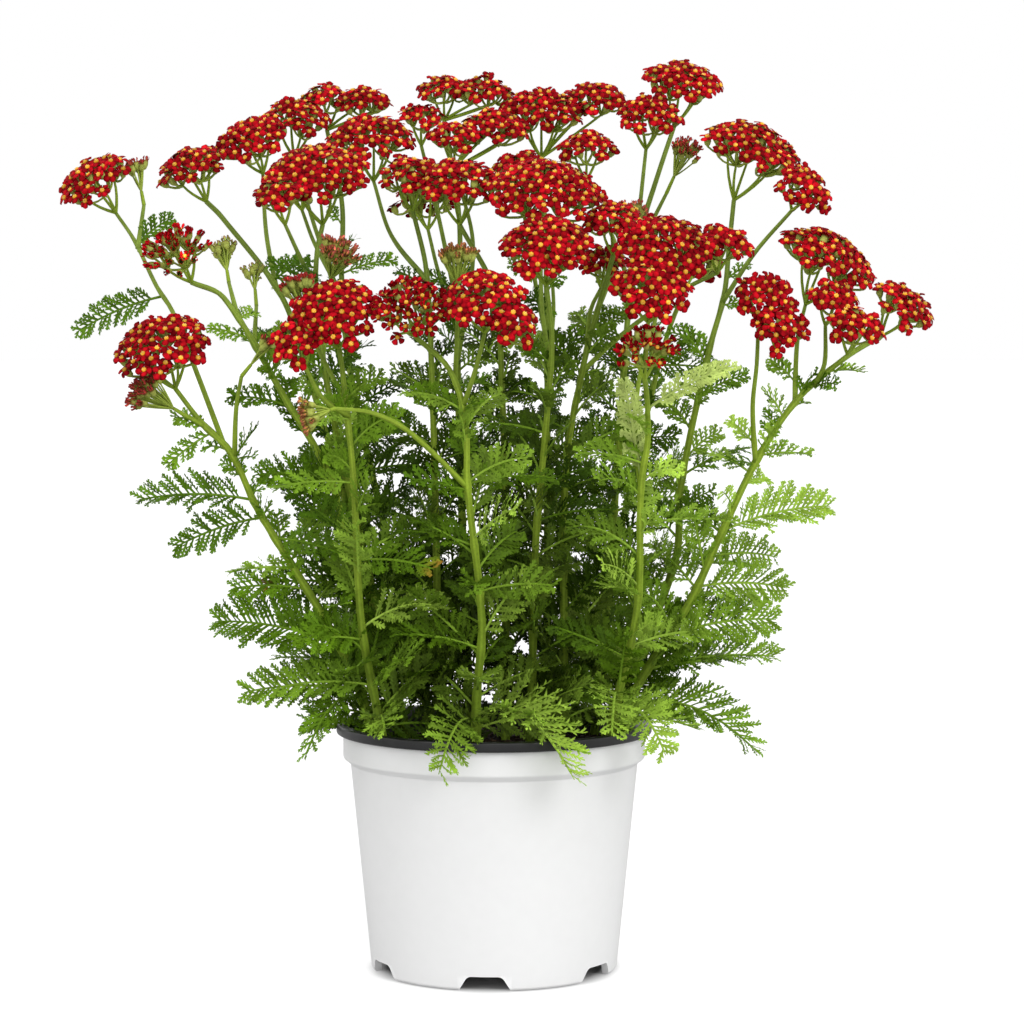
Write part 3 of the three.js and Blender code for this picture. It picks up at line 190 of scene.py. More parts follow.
# Each bloom is one or two flower clusters, grown into each other.
# A cluster is x, y and z of its rim's middle, its radius, and the way it faces.
BLOOMS = {
    "bloom_01": [(-209, -14, 418, 19, -0.45, -0.45, 0.77)],
    "bloom_02": [(-164, 38, 427, 18, -0.35, -0.4, 0.84)],
    "bloom_03": [(-161, -62, 379, 17, -0.3, -0.6, 0.74)],
    "bloom_04": [(-133, 56, 443, 19, -0.25, -0.55, 0.8)],
    "bloom_05": [(-110, 85, 456, 19, 0.1, -0.4, 0.92)],
    "bloom_06": [(-95, 110, 469, 14, 0, -0.3, 0.95), (-75, 104, 467, 15, 0, -0.3, 0.95)],
    "bloom_07": [(-93, -20, 420, 27, -0.1, -0.5, 0.86), (-110, -46, 408, 13, -0.15, -0.5, 0.85)],
    "bloom_08": [(-66, 44, 443, 22, 0, -0.42, 0.9)],
    "bloom_09": [(-29, 118, 475, 14, 0, -0.3, 0.95), (-7, 112, 473, 16, 0, -0.3, 0.95)],
    "bloom_10": [(-41, 84, 457, 12, 0, -0.3, 0.95)],
    "bloom_11": [(-22, 55, 444, 14, 0, -0.42, 0.91), (-1, 66, 450, 18, 0, -0.42, 0.91)],
    "bloom_12": [(26, 100, 461, 24, 0, -0.38, 0.93), (57, 109, 469, 17, 0.05, -0.38, 0.93)],
    "bloom_13": [(104, 86, 476, 22, 0.15, -0.4, 0.9)],
    "bloom_14": [(84, 54, 456, 17, 0.05, -0.5, 0.85)],
    "bloom_15": [(50, 54, 438, 15, 0, -0.4, 0.9)],
    "bloom_16": [(15, 40, 427, 15, 0, -0.4, 0.9)],
    "bloom_17": [(-43, -1, 421, 17, 0, -0.4, 0.91), (-18, -16, 416, 21, 0, -0.45, 0.88)],
    "bloom_18": [(26, -33, 411, 29, 0.05, -0.45, 0.88)],
    "bloom_19": [(64, -42, 395, 16, 0.1, -0.5, 0.85)],
    "bloom_20": [(27, -79, 381, 22, 0, -0.65, 0.76)],
    "bloom_21": [(58, -13, 375, 12, 0.1, -0.5, 0.85)],
    "bloom_22": [(86, -76, 380, 23, 0.05, -0.7, 0.7), (79, -97, 359, 19, 0.05, -0.7, 0.7)],
    "bloom_23": [(117, -48, 384, 14, 0.1, -0.5, 0.85)],
    "bloom_24": [(139, 20, 435, 27, 0.35, -0.3, 0.88)],
    "bloom_25": [(162, -18, 413, 14, 0.3, -0.7, 0.6)],
    "bloom_26": [(176, -10, 377, 26, 0.4, -0.35, 0.85)],
    "bloom_27": [(213, -24, 352, 17, 0.5, -0.4, 0.77)],
    "bloom_28": [(174, -46, 355, 13, 0.15, -0.6, 0.8), (184, -60, 341, 14, 0.15, -0.6, 0.8)],
    "bloom_29": [(138, -60, 355, 15, 0.1, -0.8, 0.6), (146, -71, 340, 13, 0.12, -0.8, 0.6)],
    "bloom_30": [(75, -119, 330, 14, 0, -0.55, 0.83)],
    "bloom_31": [(-168, -70, 331, 24, -0.2, -0.55, 0.8)],
    "bloom_32": [(-79, -92, 348, 22, -0.05, -0.7, 0.7), (-97, -104, 333, 13, -0.2, -0.7, 0.7)],
    "bloom_33": [(-41, -102, 350, 18, -0.1, -0.75, 0.65)],
    "bloom_34": [(-4, -114, 354, 19, 0, -0.7, 0.7), (10, -123, 342, 12, 0.1, -0.7, 0.7)],
    "bloom_35": [(113, 120, 378, 16, 0.3, 0.5, 0.8)],
    "bloom_36": [(34, 120, 392, 18, 0.1, 0.5, 0.85)],
    "bloom_37": [(-96, 122, 352, 16, -0.2, 0.55, 0.8)],
    "bloom_38": [(-113, 118, 425, 16, -0.2, 0.3, 0.92)],
    "bloom_39": [(-40, 122, 414, 17, -0.1, 0.45, 0.88)],
}

# Each shoot is a stem and the branches that leave it, each a path from its lower end.
# leaves: height on the path, heading, rise in degrees, length, and sag where it isn't LEAF_SAG.
# heads: the flower clusters that the path ends under, as bloom and which of its clusters.
# buds: a cluster of closed buds at the path's end, as x, y, z and radius.
SHOOTS = {
  "shoot_01": [
    dict(path=[(-60, -22), (-69, -27, 148), (-88, -34, 189), (-122, -46, 248), (-135, -52, 277),
           (-149, -57, 292)], heads=[("bloom_31", 0)],
         leaves=[(146, 231, 30, 52, 1), (151, 192, 12, 62), (176, 182, 22, 68), (205, 184, 12, 40),
           (216, 184, 8, 34), (243, 186, -8, 46), (252, 188, 12, 60), (287, 190, -28, 27),
           (232, -25, 0, 40)]),
    dict(path=[(-138, -52, 280), (-153, -44, 318), (-166, -36, 349), (-175, -28, 362), (-188, -14, 386)],
         heads=[("bloom_01", 0)], leaves=[(357, 180, -12, 46), (384, 20, 45, 28)]),
    dict(path=[(-186, -17, 382), (-184, -6, 405)], buds=(-188, -4, 426, 6)),
    dict(path=[(-133, -51, 274), (-131, -61, 300), (-128, -64, 316)], buds=(-115, -62, 332, 5)),
    dict(path=[(-147, -56, 290), (-158, -66, 297)], buds=(-176, -78, 309, 11)),
  ],
  "shoot_02": [
    dict(path=[(-54, -6), (-63, -12, 145), (-78, -24, 235), (-88, -30, 269), (-106, -38, 301),
           (-138, -52, 356)], heads=[("bloom_03", 0)],
         leaves=[(135, 240, 20, 40), (262, 200, 15, 42), (160, 200, 20, 52), (205, 170, 12, 50),
           (300, 178, 20, 34), (330, 30, 30, 26)]),
    dict(path=[(-131, -50, 346), (-137, -34, 364)], buds=(-141, -20, 382, 7)),
    dict(path=[(-123, -46, 332), (-124, -20, 352)], buds=(-127, 0, 370, 6)),
  ],
  "shoot_03": [
    dict(path=[(-46, 10), (-55, 11, 141), (-77, 14, 238), (-99, 22, 313), (-114, 26, 357), (-147, 37, 400)],
         heads=[("bloom_02", 0)],
         leaves=[(210, 120, 25, 50), (170, 150, 20, 56), (250, 170, 25, 44), (330, 200, 25, 34),
           (365, 0, 40, 28)]),
    dict(path=[(-117, 27, 361), (-124, 46, 392)], heads=[("bloom_04", 0)]),
  ],
  "shoot_04": [
    dict(path=[(-38, -8), (-50, -12, 142), (-70, -14, 229), (-86, -16, 303), (-93, -14, 355),
           (-93, -8, 380)], heads=[("bloom_07", 0)],
         leaves=[(190, 140, 25, 46), (150, -60, 30, 46), (262, 20, 20, 42), (318, 160, 30, 38)]),
    dict(path=[(-93, -13, 360), (-101, -26, 378)], heads=[("bloom_07", 1)]),
    dict(path=[(-92, -14, 347), (-86, -26, 362)], buds=(-80, -38, 380, 11)),
  ],
  "shoot_05": [
    dict(path=[(-52, -38), (-61, -43, 146), (-68, -56, 191), (-71, -70, 265), (-76, -74, 318)],
         heads=[("bloom_32", 0)],
         leaves=[(138, -84, 20, 50, 0.35), (156, 180, 10, 50), (180, 215, 14, 44), (222, -30, 8, 46),
           (262, 195, 8, 42), (290, 10, 26, 30)]),
    dict(path=[(-73, -74, 296), (-86, -86, 306)], heads=[("bloom_32", 1)]),
    dict(path=[(-74, -74, 302), (-92, -62, 335)], buds=(-99, -58, 362, 10)),
  ],
  "shoot_06": [
    dict(path=[(-8, -42), (-9, -47, 144), (-6, -60, 192), (-13, -78, 261), (-14, -84, 295),
           (-22, -88, 320)], heads=[("bloom_33", 0)],
         leaves=[(134, 250, 35, 66, 0.83), (140, -47, 30, 84, 0.8), (150, 20, 30, 50), (176, 205, 22, 52),
           (206, -30, 18, 46), (230, 160, 20, 46), (262, 20, 14, 48), (300, 170, 30, 30)]),
    dict(path=[(-15, -85, 301), (-8, -98, 322)], heads=[("bloom_34", 0)]),
    dict(path=[(-19, -87, 312), (-18, -80, 340), (-18, -80, 358)], buds=(-18, -84, 377, 10)),
    dict(path=[(-13, -78, 260), (-32, -90, 280), (-46, -100, 292), (-61, -110, 299), (-77, -119, 301)],
         buds=(-90, -123, 298, 8)),
  ],
  "shoot_07": [
    dict(path=[(-24, 0), (-29, 0, 143), (-31, 2, 239), (-33, 4, 313), (-36, 8, 371)],
         heads=[("bloom_17", 0)],
         leaves=[(190, 60, 30, 46), (268, -40, 25, 42), (150, -100, 30, 50), (236, 200, 20, 44),
           (300, 130, 30, 38), (340, -60, 30, 28)]),
    dict(path=[(-36, 7, 366), (-56, 37, 391)], heads=[("bloom_08", 0)]),
  ],
  "shoot_08": [
    dict(path=[(6, 2), (6, 3, 142), (6, 4, 238), (4, 3, 313), (0, 2, 360)], heads=[("bloom_17", 1)],
         leaves=[(192, 150, 30, 44), (256, -40, 25, 42), (160, -120, 35, 46), (225, 60, 25, 44),
           (290, -140, 30, 38)]),
  ],
  "shoot_09": [
    dict(path=[(18, -8), (20, -12, 149), (22, -22, 229), (28, -38, 300), (30, -48, 335)],
         heads=[("bloom_20", 0)],
         leaves=[(210, 160, 25, 46), (134, -58, 34, 60), (180, -90, 24, 54), (240, -20, 20, 44),
           (286, 190, 20, 36)]),
    dict(path=[(29, -44, 320), (25, -30, 352)], heads=[("bloom_18", 0)]),
  ],
  "shoot_10": [
    dict(path=[(34, 8), (37, 6, 147), (38, 2, 265), (48, -8, 325), (55, -14, 352)],
         heads=[("bloom_19", 0)],
         leaves=[(212, 140, 25, 46), (170, 30, 22, 50), (255, -30, 24, 44), (300, 60, 30, 36)]),
    dict(path=[(49, -9, 330), (51, -4, 350)], heads=[("bloom_21", 0)]),
    dict(path=[(46, -6, 317), (66, -12, 336), (98, -30, 360)], heads=[("bloom_23", 0)]),
    dict(path=[(54, -13, 349), (64, 2, 372)], buds=(74, 4, 402, 9)),
  ],
  "shoot_11": [
    dict(path=[(56, -34), (63, -38, 142), (74, -52, 197), (75, -70, 261), (78, -77, 284), (77, -92, 304)],
         heads=[("bloom_30", 0)],
         leaves=[(136, -15, 15, 48, 0.32), (141, -62, 30, 60, 0.77), (148, -95, 30, 60, 0.7),
           (176, 20, 20, 46), (204, -120, 20, 40), (240, -20, 15, 50), (272, 175, 20, 36)]),
    dict(path=[(75, -69, 258), (72, -62, 289), (75, -60, 318), (82, -58, 342)], heads=[("bloom_22", 0)]),
    dict(path=[(76, -60, 321), (78, -72, 334)], heads=[("bloom_22", 1)]),
  ],
  "shoot_12": [
    dict(path=[(60, -6), (71, -6, 141), (104, -10, 197), (119, -14, 231), (138, -20, 272), (158, -26, 303),
           (183, -26, 325)], heads=[("bloom_27", 0)],
         leaves=[(140, -20, 20, 76, 0.62), (160, -8, 18, 70), (178, 0, 20, 60), (204, 10, 10, 50),
           (220, -40, 14, 44), (234, 2, 24, 62), (274, -10, 12, 28), (318, -40, 10, 22)]),
    dict(path=[(157, -25, 301), (159, -16, 334)], heads=[("bloom_26", 0)], leaves=[(312, 170, 50, 22)]),
    dict(path=[(167, -28, 311), (171, -38, 322)], heads=[("bloom_28", 0)]),
    dict(path=[(137, -20, 270), (134, -38, 300), (135, -50, 322)], heads=[("bloom_29", 0)],
         leaves=[(280, 160, 50, 22)]),
  ],
  "shoot_13": [
    dict(path=[(56, 14), (68, 12, 141), (97, 14, 216), (100, 14, 257), (115, 16, 329), (123, 20, 358),
           (126, 26, 384)], heads=[("bloom_24", 0)],
         leaves=[(186, -30, 15, 50), (160, 20, 14, 56), (212, 30, 10, 50), (262, 15, 32, 44),
           (304, 12, 34, 32), (330, 160, 30, 28)]),
    dict(path=[(122, 19, 354), (138, 6, 380)], heads=[("bloom_25", 0)]),
  ],
  "shoot_14": [
    dict(path=[(51, 34), (57, 37, 140), (65, 48, 236), (74, 64, 356), (79, 68, 389), (90, 82, 424)],
         heads=[("bloom_13", 0)],
         leaves=[(200, 120, 25, 50), (275, -42, 21, 43), (165, 60, 25, 56), (240, 30, 20, 50),
           (318, 2, 10, 58), (350, 100, 35, 34)]),
    dict(path=[(76, 66, 370), (80, 64, 410)], heads=[("bloom_14", 0)]),
    dict(path=[(75, 65, 362), (64, 62, 392)], heads=[("bloom_15", 0)]),
    dict(path=[(79, 67, 384), (94, 60, 414)], buds=(104, 48, 437, 9)),
  ],
  "shoot_15": [
    dict(path=[(24, 30), (28, 36, 139), (29, 60, 235), (29, 78, 328), (28, 90, 395)],
         heads=[("bloom_12", 0), ("bloom_12", 1)],
         leaves=[(198, -60, 25, 46), (270, 130, 25, 42), (160, 110, 30, 52), (240, 70, 25, 46),
           (300, -170, 25, 40)]),
    dict(path=[(29, 79, 332), (20, 62, 378)], heads=[("bloom_16", 0)]),
    dict(path=[(29, 76, 316), (33, 110, 350)], heads=[("bloom_36", 0)]),
  ],
  "shoot_16": [
    dict(path=[(-12, 36), (-14, 42, 138), (-18, 66, 234), (-21, 86, 328), (-20, 100, 400)],
         heads=[("bloom_09", 0), ("bloom_09", 1)],
         leaves=[(200, -150, 25, 48), (268, 60, 25, 42), (165, 90, 30, 56), (235, 140, 25, 48),
           (300, 20, 25, 40)]),
    dict(path=[(-21, 91, 352), (-32, 88, 405)], heads=[("bloom_10", 0)]),
    dict(path=[(-21, 84, 320), (-12, 76, 385)], heads=[("bloom_11", 0), ("bloom_11", 1)]),
    dict(path=[(-21, 88, 338), (-32, 106, 372)], heads=[("bloom_39", 0)]),
  ],
  "shoot_17": [
    dict(path=[(-32, 38), (-38, 46, 137), (-62, 70, 234), (-80, 88, 311), (-86, 98, 367), (-86, 104, 410)],
         heads=[("bloom_06", 0), ("bloom_06", 1)],
         leaves=[(190, 100, 25, 54), (262, -160, 25, 44), (160, 140, 25, 60), (225, 165, 20, 54),
           (300, 120, 25, 44), (340, 200, 30, 34)]),
    dict(path=[(-84, 94, 350), (-100, 92, 395)], heads=[("bloom_05", 0)]),
    dict(path=[(-84, 96, 356), (-102, 112, 388)], heads=[("bloom_38", 0)]),
    dict(path=[(-74, 82, 284), (-86, 104, 316)], heads=[("bloom_37", 0)]),
  ],
  "shoot_18": [
    dict(path=[(38, 50), (46, 58, 140), (72, 88, 235), (90, 106, 310), (98, 114, 338)],
         heads=[("bloom_35", 0)],
         leaves=[(178, 0, 20, 54), (228, 120, 20, 48), (155, 50, 20, 60), (200, 75, 20, 58),
           (255, 40, 25, 50), (300, 80, 30, 32)]),
  ],
}

# How far the flower heads of a bloom are open: 1 is wide open, 0 is shut.
OPENNESS = {"bloom_03": 0.04, "bloom_10": 0.75, "bloom_29": 0.85, "bloom_30": 0.25, "bloom_33": 0.42}
# How bright its red is, where that isn't 1.
DEPTH_OF_RED = {"bloom_03": 1.7, "bloom_16": 0.85, "bloom_21": 0.85, "bloom_30": 0.95, "bloom_33": 0.9}
# What the folded rays at the tips of a shoot's closed buds have of the open rays' red, green and blue.
BUD_TINTS = {
    "shoot_01": (1.25, 14, 5), "shoot_02": (1.1, 80, 12), "shoot_04": (1.9, 46, 13),
    "shoot_05": (1.4, 10, 4), "shoot_06": (1.3, 50, 8), "shoot_10": (1.7, 34, 10),
    "shoot_14": (1.6, 16, 6),
}
# The leaves that are brown at the tip, by their height.
TIRED_LEAVES = {("shoot_02", 205), ("shoot_05", 222), ("shoot_03", 210)}
# Leaves between the flower stems: height, heading, rise, length and, where it isn't the usual, light.
UPPER_LEAVES = {
    "shoot_02": [(335, 180, 25, 24)], "shoot_04": [(372, 180, 12, 28)],
    "shoot_05": [(284, 12, 30, 36)], "shoot_06": [(308, 5, 38, 22)],
    "shoot_09": [(322, 178, 45, 22)], "shoot_10": [(335, 5, 45, 28)],
    "shoot_11": [(262, 180, 82, 66, PALE), (300, 4, 36, 56, PALE)], "shoot_13": [(366, 20, 40, 20)],
    "shoot_17": [(371, 10, 25, 34), (398, 200, 60, 16)],
}
# The blooms whose two clusters share the end of one branch.
SHARED_FEET = {branch["heads"][0][0] for branches in SHOOTS.values() for branch in branches
               if len(branch.get("heads", [])) > 1}

# ---------------------------------------------------------------- mesh building


def unit(v):
    v = np.asarray(v, float)
    return v / np.linalg.norm(v, axis=-1, keepdims=True)


def mix(a, b, share):
    share = np.asarray(share, float)[..., None]
    return a * (1 - share) + b * share


def turned(one, two, angle):
    """Two directions turned by an angle in their own plane."""
    return one * np.cos(angle) + two * np.sin(angle), two * np.cos(angle) - one * np.sin(angle)


def cross_axes(ahead, main):
    """Two directions at right angles to each of ahead, begun from the axis that main isn't along."""
    first = np.where(np.abs(main[..., :1]) < 0.85, ACROSS, BACK)
    across = unit(first - (first * ahead).sum(-1, keepdims=True) * ahead)
    return across, np.cross(ahead, across)


def angles(sides, start=0.0):
    """Even steps of a full turn, the first at a share of a step."""
    return (np.arange(sides) + start) * 2 * np.pi / sides


def ring(radius, height, turn):
    """Corners round the Z axis at the angles."""
    return np.column_stack([radius * np.cos(turn), radius * np.sin(turn), np.full(len(turn), height)])


def bands(rows, sides):
    """Faces between neighbouring rings, which follow each other with as many corners each."""
    rows = np.arange(rows - 1)[:, None] * sides
    a = (rows + np.arange(sides)).ravel()
    b = (rows + (np.arange(sides) + 1) % sides).ravel()
    return np.stack([a, b, b + sides, a + sides], axis=1)


def fan(sides, tip, first=0):
    """Triangles from the sides of a ring to one corner."""
    i = np.arange(sides)
    return np.stack([i + first, (i + 1) % sides + first, np.full(sides, tip)], axis=1)


def copies(faces, count, size):
    """The faces of a shape that has that many corners, for each of its copies."""
    return (faces[None] + (np.arange(count) * size)[:, None, None]).reshape(-1, faces.shape[1])


class Sheet:
    """Corners with a colour each, and faces of three or four corners, gathered for one mesh."""

    def __init__(self):
        self.corners, self.colours, self.faces, self.count = [], [], [], 0

    def add(self, corners, faces, colour):
        corners = np.asarray(corners, float).reshape(-1, 3)
        self.corners.append(corners)
        self.colours.append(np.broadcast_to(np.asarray(colour, float), corners.shape).copy())
        self.faces += [np.asarray(group, int) + self.count for group in faces]
        self.count += len(corners)

    def shape(self):
        """All of it as one small shape, for place."""
        faces = [[group for group in self.faces if group.shape[1] == n] for n in (3, 4)]
        return (np.concatenate(self.corners), [np.vstack(groups) for groups in faces if groups],
                np.concatenate(self.colours))


def make_object(name, sheet, material):
    """One smooth mesh object in metres, with the corners' colours in the attribute "tone"."""
    corners, colours = np.concatenate(sheet.corners), np.concatenate(sheet.colours)
    loops = np.concatenate([group.ravel() for group in sheet.faces])
    sizes = np.concatenate([np.full(len(group), group.shape[1]) for group in sheet.faces])
    starts = np.concatenate([[0], np.cumsum(sizes)[:-1]])
    mesh = bpy.data.meshes.new(name)
    mesh.vertices.add(len(corners))
    mesh.vertices.foreach_set("co", (corners * MM).astype(np.float32).ravel())
    mesh.loops.add(len(loops))
    mesh.loops.foreach_set("vertex_index", loops.astype(np.int32))
    mesh.polygons.add(len(sizes))
    mesh.polygons.foreach_set("loop_start", starts.astype(np.int32))
    mesh.polygons.foreach_set("use_smooth", np.full(len(sizes), True))
    tone = mesh.color_attributes.new("tone", "FLOAT_COLOR", "POINT")
    opaque = np.column_stack([colours, np.ones(len(colours))])
    tone.data.foreach_set("color", opaque.astype(np.float32).ravel())
    mesh.update(calc_edges=True)
    mesh.validate()
    mesh.materials.append(material)
    obj = bpy.data.objects.new(name, mesh)
    bpy.context.scene.collection.objects.link(obj)
    return obj


def round_body(sheet, rings, ends, tones):
    """A closed body of rings of corners, with a fan at each end to the end's own corner."""
    rows, sides = rings.shape[:2]
    count = rows * sides
    caps = np.vstack([fan(sides, count)[:, [1, 0, 2]], fan(sides, count + 1, count - sides)])
    sheet.add(np.vstack([rings.reshape(-1, 3), ends]), [bands(rows, sides), caps], tones)


def smooth_line(points, step):
    """A smooth line through the points, with a point every few millimetres."""
    pts = np.asarray(points, float)
    ext = np.vstack([2 * pts[0] - pts[1], pts, 2 * pts[-1] - pts[-2]])
    out = []
    for i in range(1, len(ext) - 2):
        before, start, end, after = ext[i - 1:i + 3]
        length = np.linalg.norm(end - start)
        m1 = (end - before) * length / (length + np.linalg.norm(start - before))
        m2 = (after - start) * length / (length + np.linalg.norm(after - end))
        count = max(2, int(math.ceil(length / step)))
        t = (np.arange(count) / count)[:, None]
        out.append((2 * t**3 - 3 * t**2 + 1) * start + (t**3 - 2 * t**2 + t) * m1
                   + (3 * t**2 - 2 * t**3) * end + (t**3 - t**2) * m2)
    return np.vstack(out + [pts[-1:]])


def tube(sheet, line, radii, sides, colours, ridges=0.0):
    """A round limb along the line, closed at both ends, with raised ridges along it, the ridges painted
    lighter as highlights and the grooves between them painted darker as shade.
    """
    ahead = unit(np.gradient(line, axis=0))
    across, other = cross_axes(ahead, unit(line[-1] - line[0]))
    ridge = ridges * np.where(np.arange(sides) % 2, 1.0, -1.0)
    radius = np.asarray(radii, float)[:, None] * (1 + ridge)
    rings = (line[:, None] + (radius * np.cos(angles(sides)))[..., None] * across[:, None]
             + (radius * np.sin(angles(sides)))[..., None] * other[:, None])
    colours = np.broadcast_to(colours, (len(line), 3))
    # painted highlight on the ridges and painted shade in the grooves between them
    tones = (colours[:, None] * (1 + 2 * ridge)[:, None]).reshape(-1, 3)
    round_body(sheet, rings, [line[0], line[-1] + ahead[-1] * radius[-1].mean() * 0.6],
               np.vstack([tones, colours[:1], colours[-1:]]))


def arc_stalks(sheet, starts, bends, ends, girths, colour, sides=4, steps=3):
    """Many thin curved stalks at once."""
    t = np.linspace(0, 1, steps + 1)[None, :, None]
    line = (1 - t)**2 * starts[:, None] + 2 * t * (1 - t) * bends[:, None] + t**2 * ends[:, None]
    ahead = unit(2 * (1 - t) * (bends - starts)[:, None] + 2 * t * (ends - bends)[:, None])
    across, other = cross_axes(ahead, unit(ends - starts)[:, None])
    angle = angles(sides)[:, None]
    radius = (girths[0] * (1 - t) + girths[1] * t)[..., None]
    rings = line[:, :, None] + radius * (np.cos(angle) * across[:, :, None]
                                         + np.sin(angle) * other[:, :, None])
    sheet.add(rings, [copies(bands(steps + 1, sides), len(starts), (steps + 1) * sides)], colour)


def place(sheet, shapes, kinds, turns, middles, tints):
    """Copies of small shapes, each of its own kind and turned, moved and tinted in its own way."""
    for kind in np.unique(kinds):
        corners, faces, colours = shapes[kind]
        pick = kinds == kind
        moved = np.einsum("nij,vj->nvi", turns[pick], corners) + middles[pick][:, None]
        sheet.add(moved, [copies(group, pick.sum(), len(corners)) for group in faces],
                  (colours[None] * tints[pick][:, None]).reshape(-1, 3))


def turn_to(normal):
    """The shortest turn that takes +Z to each normal."""
    normal = np.atleast_2d(normal)
    axis = np.cross(np.broadcast_to(UP, normal.shape), normal)
    k = np.zeros((len(normal), 3, 3))
    k[:, 0, 1], k[:, 0, 2], k[:, 1, 2] = -axis[:, 2], axis[:, 1], -axis[:, 0]
    k -= k.transpose(0, 2, 1)
    return np.eye(3) + k + np.einsum("nij,njk->nik", k, k) / (1 + normal[:, 2])[:, None, None]


def spin_about_z(angle):
    angle = np.atleast_1d(angle)
    turn = np.zeros((len(angle), 3, 3))
    turn[:, 0, 0] = turn[:, 1, 1] = np.cos(angle)
    turn[:, 1, 0], turn[:, 0, 1], turn[:, 2, 2] = np.sin(angle), -np.sin(angle), 1
    return turn


# ---------------------------------------------------------------- leaves


class Outline:
    """Corners and triangles of a small flat shape, added one by one."""

    def __init__(self):
        self.corners, self.faces = [], []

    def corner(self, x, y, z=0.0):
        self.corners.append((x, y, z))
        return len(self.corners) - 1


def add_lobe(shape, rng, foot, span, angle, length, width, lift):
    """A narrow lobe from its foot on the pinna's edge, ending in one tooth or two."""
    ahead = np.array([math.cos(angle), math.sin(angle)])
    aside = np.array([-math.sin(angle), math.cos(angle)])
    foot = np.array(foot)
    near, far = shape.corner(*(foot - [span, 0])), shape.corner(*(foot + [span, 0]))
    middle = foot + ahead * length * SHOULDER
    one, two = middle + aside * width, middle - aside * width
    if angle < 0:
        one, two = two, one
    back, front = shape.corner(*one, lift * 0.5), shape.corner(*two, lift * 0.5)
    faces = [(near, far, front), (near, front, back)]
    if rng.uniform() < SPLIT_SHARE:
        dip = shape.corner(*(foot + ahead * length * SPLIT_DIP), lift * 0.8)
        tips = [shape.corner(*(foot + ahead * length * reach + aside * width * out * np.sign(angle)), lift)
                for reach, out in SPLIT_TIPS]
        faces += [(back, dip, tips[0]), (back, front, dip), (front, tips[1], dip)]
    else:
        faces += [(back, front, shape.corner(*(foot + ahead * length), lift))]
    shape.faces += faces if angle > 0 else [(a, c, b) for a, b, c in faces]


def pinna_shape(rng, lobes):
    """One lobed pinna, flat, from 0 to 1 along x, as corners and triangles."""
    shape = Outline()
    length = LOBE_PITCH * lobes + PINNA_END
    axis, width = AXIS_HALF_WIDTH / length, LOBE_HALF_WIDTH / length
    stations = np.linspace(0, AXIS_END, lobes + 2)
    half = np.interp(stations, [0, 0.3, AXIS_END], [0.75, 1.0, 0.75]) * axis
    left = [shape.corner(x, w) for x, w in zip(stations, half)]
    right = [shape.corner(x, -w) for x, w in zip(stations, half)]
    for k in range(lobes + 1):
        shape.faces += [(right[k], right[k + 1], left[k + 1]), (right[k], left[k + 1], left[k])]
    for k in range(lobes):
        for side in (1, -1):
            x = LOBE_FROM + LOBE_SPAN * (k + 0.55 + 0.20 * side + rng.uniform(-0.1, 0.1)) / lobes
            size = (LOBE_LENGTH - LOBE_TAPER * abs(x - 0.55) / 0.4) * rng.uniform(0.85, 1.15) / length
            angle = side * math.radians(rng.uniform(*LOBE_ANGLES))
            add_lobe(shape, rng, (x, side * axis * 0.8), 1.3 * width, angle, size,
                     width * rng.uniform(0.9, 1.15), rng.uniform(-0.05, 0.10))
    for angle, size in END_LOBES:
        add_lobe(shape, rng, (0.83, 0.0), 0.9 * width, math.radians(angle + rng.uniform(-5, 5)),
                 size / length, width, rng.uniform(-0.04, 0.06))
    return np.array(shape.corners), np.array(shape.faces)


def pinna_shapes():
    """For each number of lobes, a pinna of each kind."""
    rng = np.random.default_rng(PINNA_SEED)
    return {lobes: [pinna_shape(rng, lobes) for _ in range(PINNA_KINDS)]
            for lobes in range(1, MOST_LOBES + 1)}


PINNA_SHAPES = pinna_shapes()


def leaf_line(base, heading, rise, length, sag, away):
    """Places at shares of a leaf's length, and there the ways that it runs, faces and spreads."""
    bearing, climb, lean = math.radians(heading), math.radians(rise), math.radians(LEAF_LEAN)
    out = np.array([math.cos(bearing), math.sin(bearing), 0])
    facing = np.array([0, away * math.sin(lean), math.cos(lean)])

    def at(share):
        share = np.asarray(share, float)[..., None]
        return (base + out * length * share * math.cos(climb)
                + UP * length * (share * math.sin(climb) - sag * share**2))

    def frame_at(share):
        ahead = unit(at(np.asarray(share) + 0.02) - at(np.asarray(share) - 0.02))
        face = unit(facing - (ahead @ facing)[..., None] * ahead)
        return ahead, face, np.cross(face, ahead)

    return at, frame_at


def leaf_tip(base, heading, rise, length, sag):
    return leaf_line(base, heading, rise, length, sag, -1)[0](1.0)


def leaf_green(light):
    """From deep green at 0 to light green at 1, and on to pale green at PALE."""
    lights = np.linspace(0, PALE, len(LEAF_GREENS))
    return np.array([np.interp(light, lights, channel) for channel in LEAF_GREENS.T])


def winged_rib(sheet, at, frame_at, length, colours):
    """The flat green margins along a leaf's rib."""
    shares = np.linspace(0.02, 0.97, len(colours))
    _, face, side = frame_at(shares)
    half = np.interp(shares, WING_SHARES, WING_WIDTHS)[:, None] * min(1, 0.5 + length / 80)
    middle = at(shares)
    edges = [middle + side * half * out + face * (0.15 if out else 0.1) for out in (1, 0, -1)]
    i, n = np.arange(len(shares) - 1), len(shares)
    faces = np.stack([i + n, i + n + 1, i + 1, i], axis=1)
    sheet.add(np.vstack(edges), [np.vstack([faces, faces + n])], np.vstack([colours] * 3))


def pinna_feet(rng, length, pitch):
    """Where the pinnae leave the rib, as shares of its length, and the side of each: 1 or -1."""
    pairs = max(3, int(round(length * (1 - PETIOLE) / pitch)))
    share = np.repeat(PINNAE_FROM + (PINNAE_TO - PINNAE_FROM) * (np.arange(pairs) + 0.4) / pairs, 2)
    side = np.tile([1.0, -1.0], pairs)
    share = share + side * PINNA_STAGGER / pairs + rng.normal(0, 0.14 / pairs, len(share))
    return np.clip(share, 0.02, PINNAE_TO), side


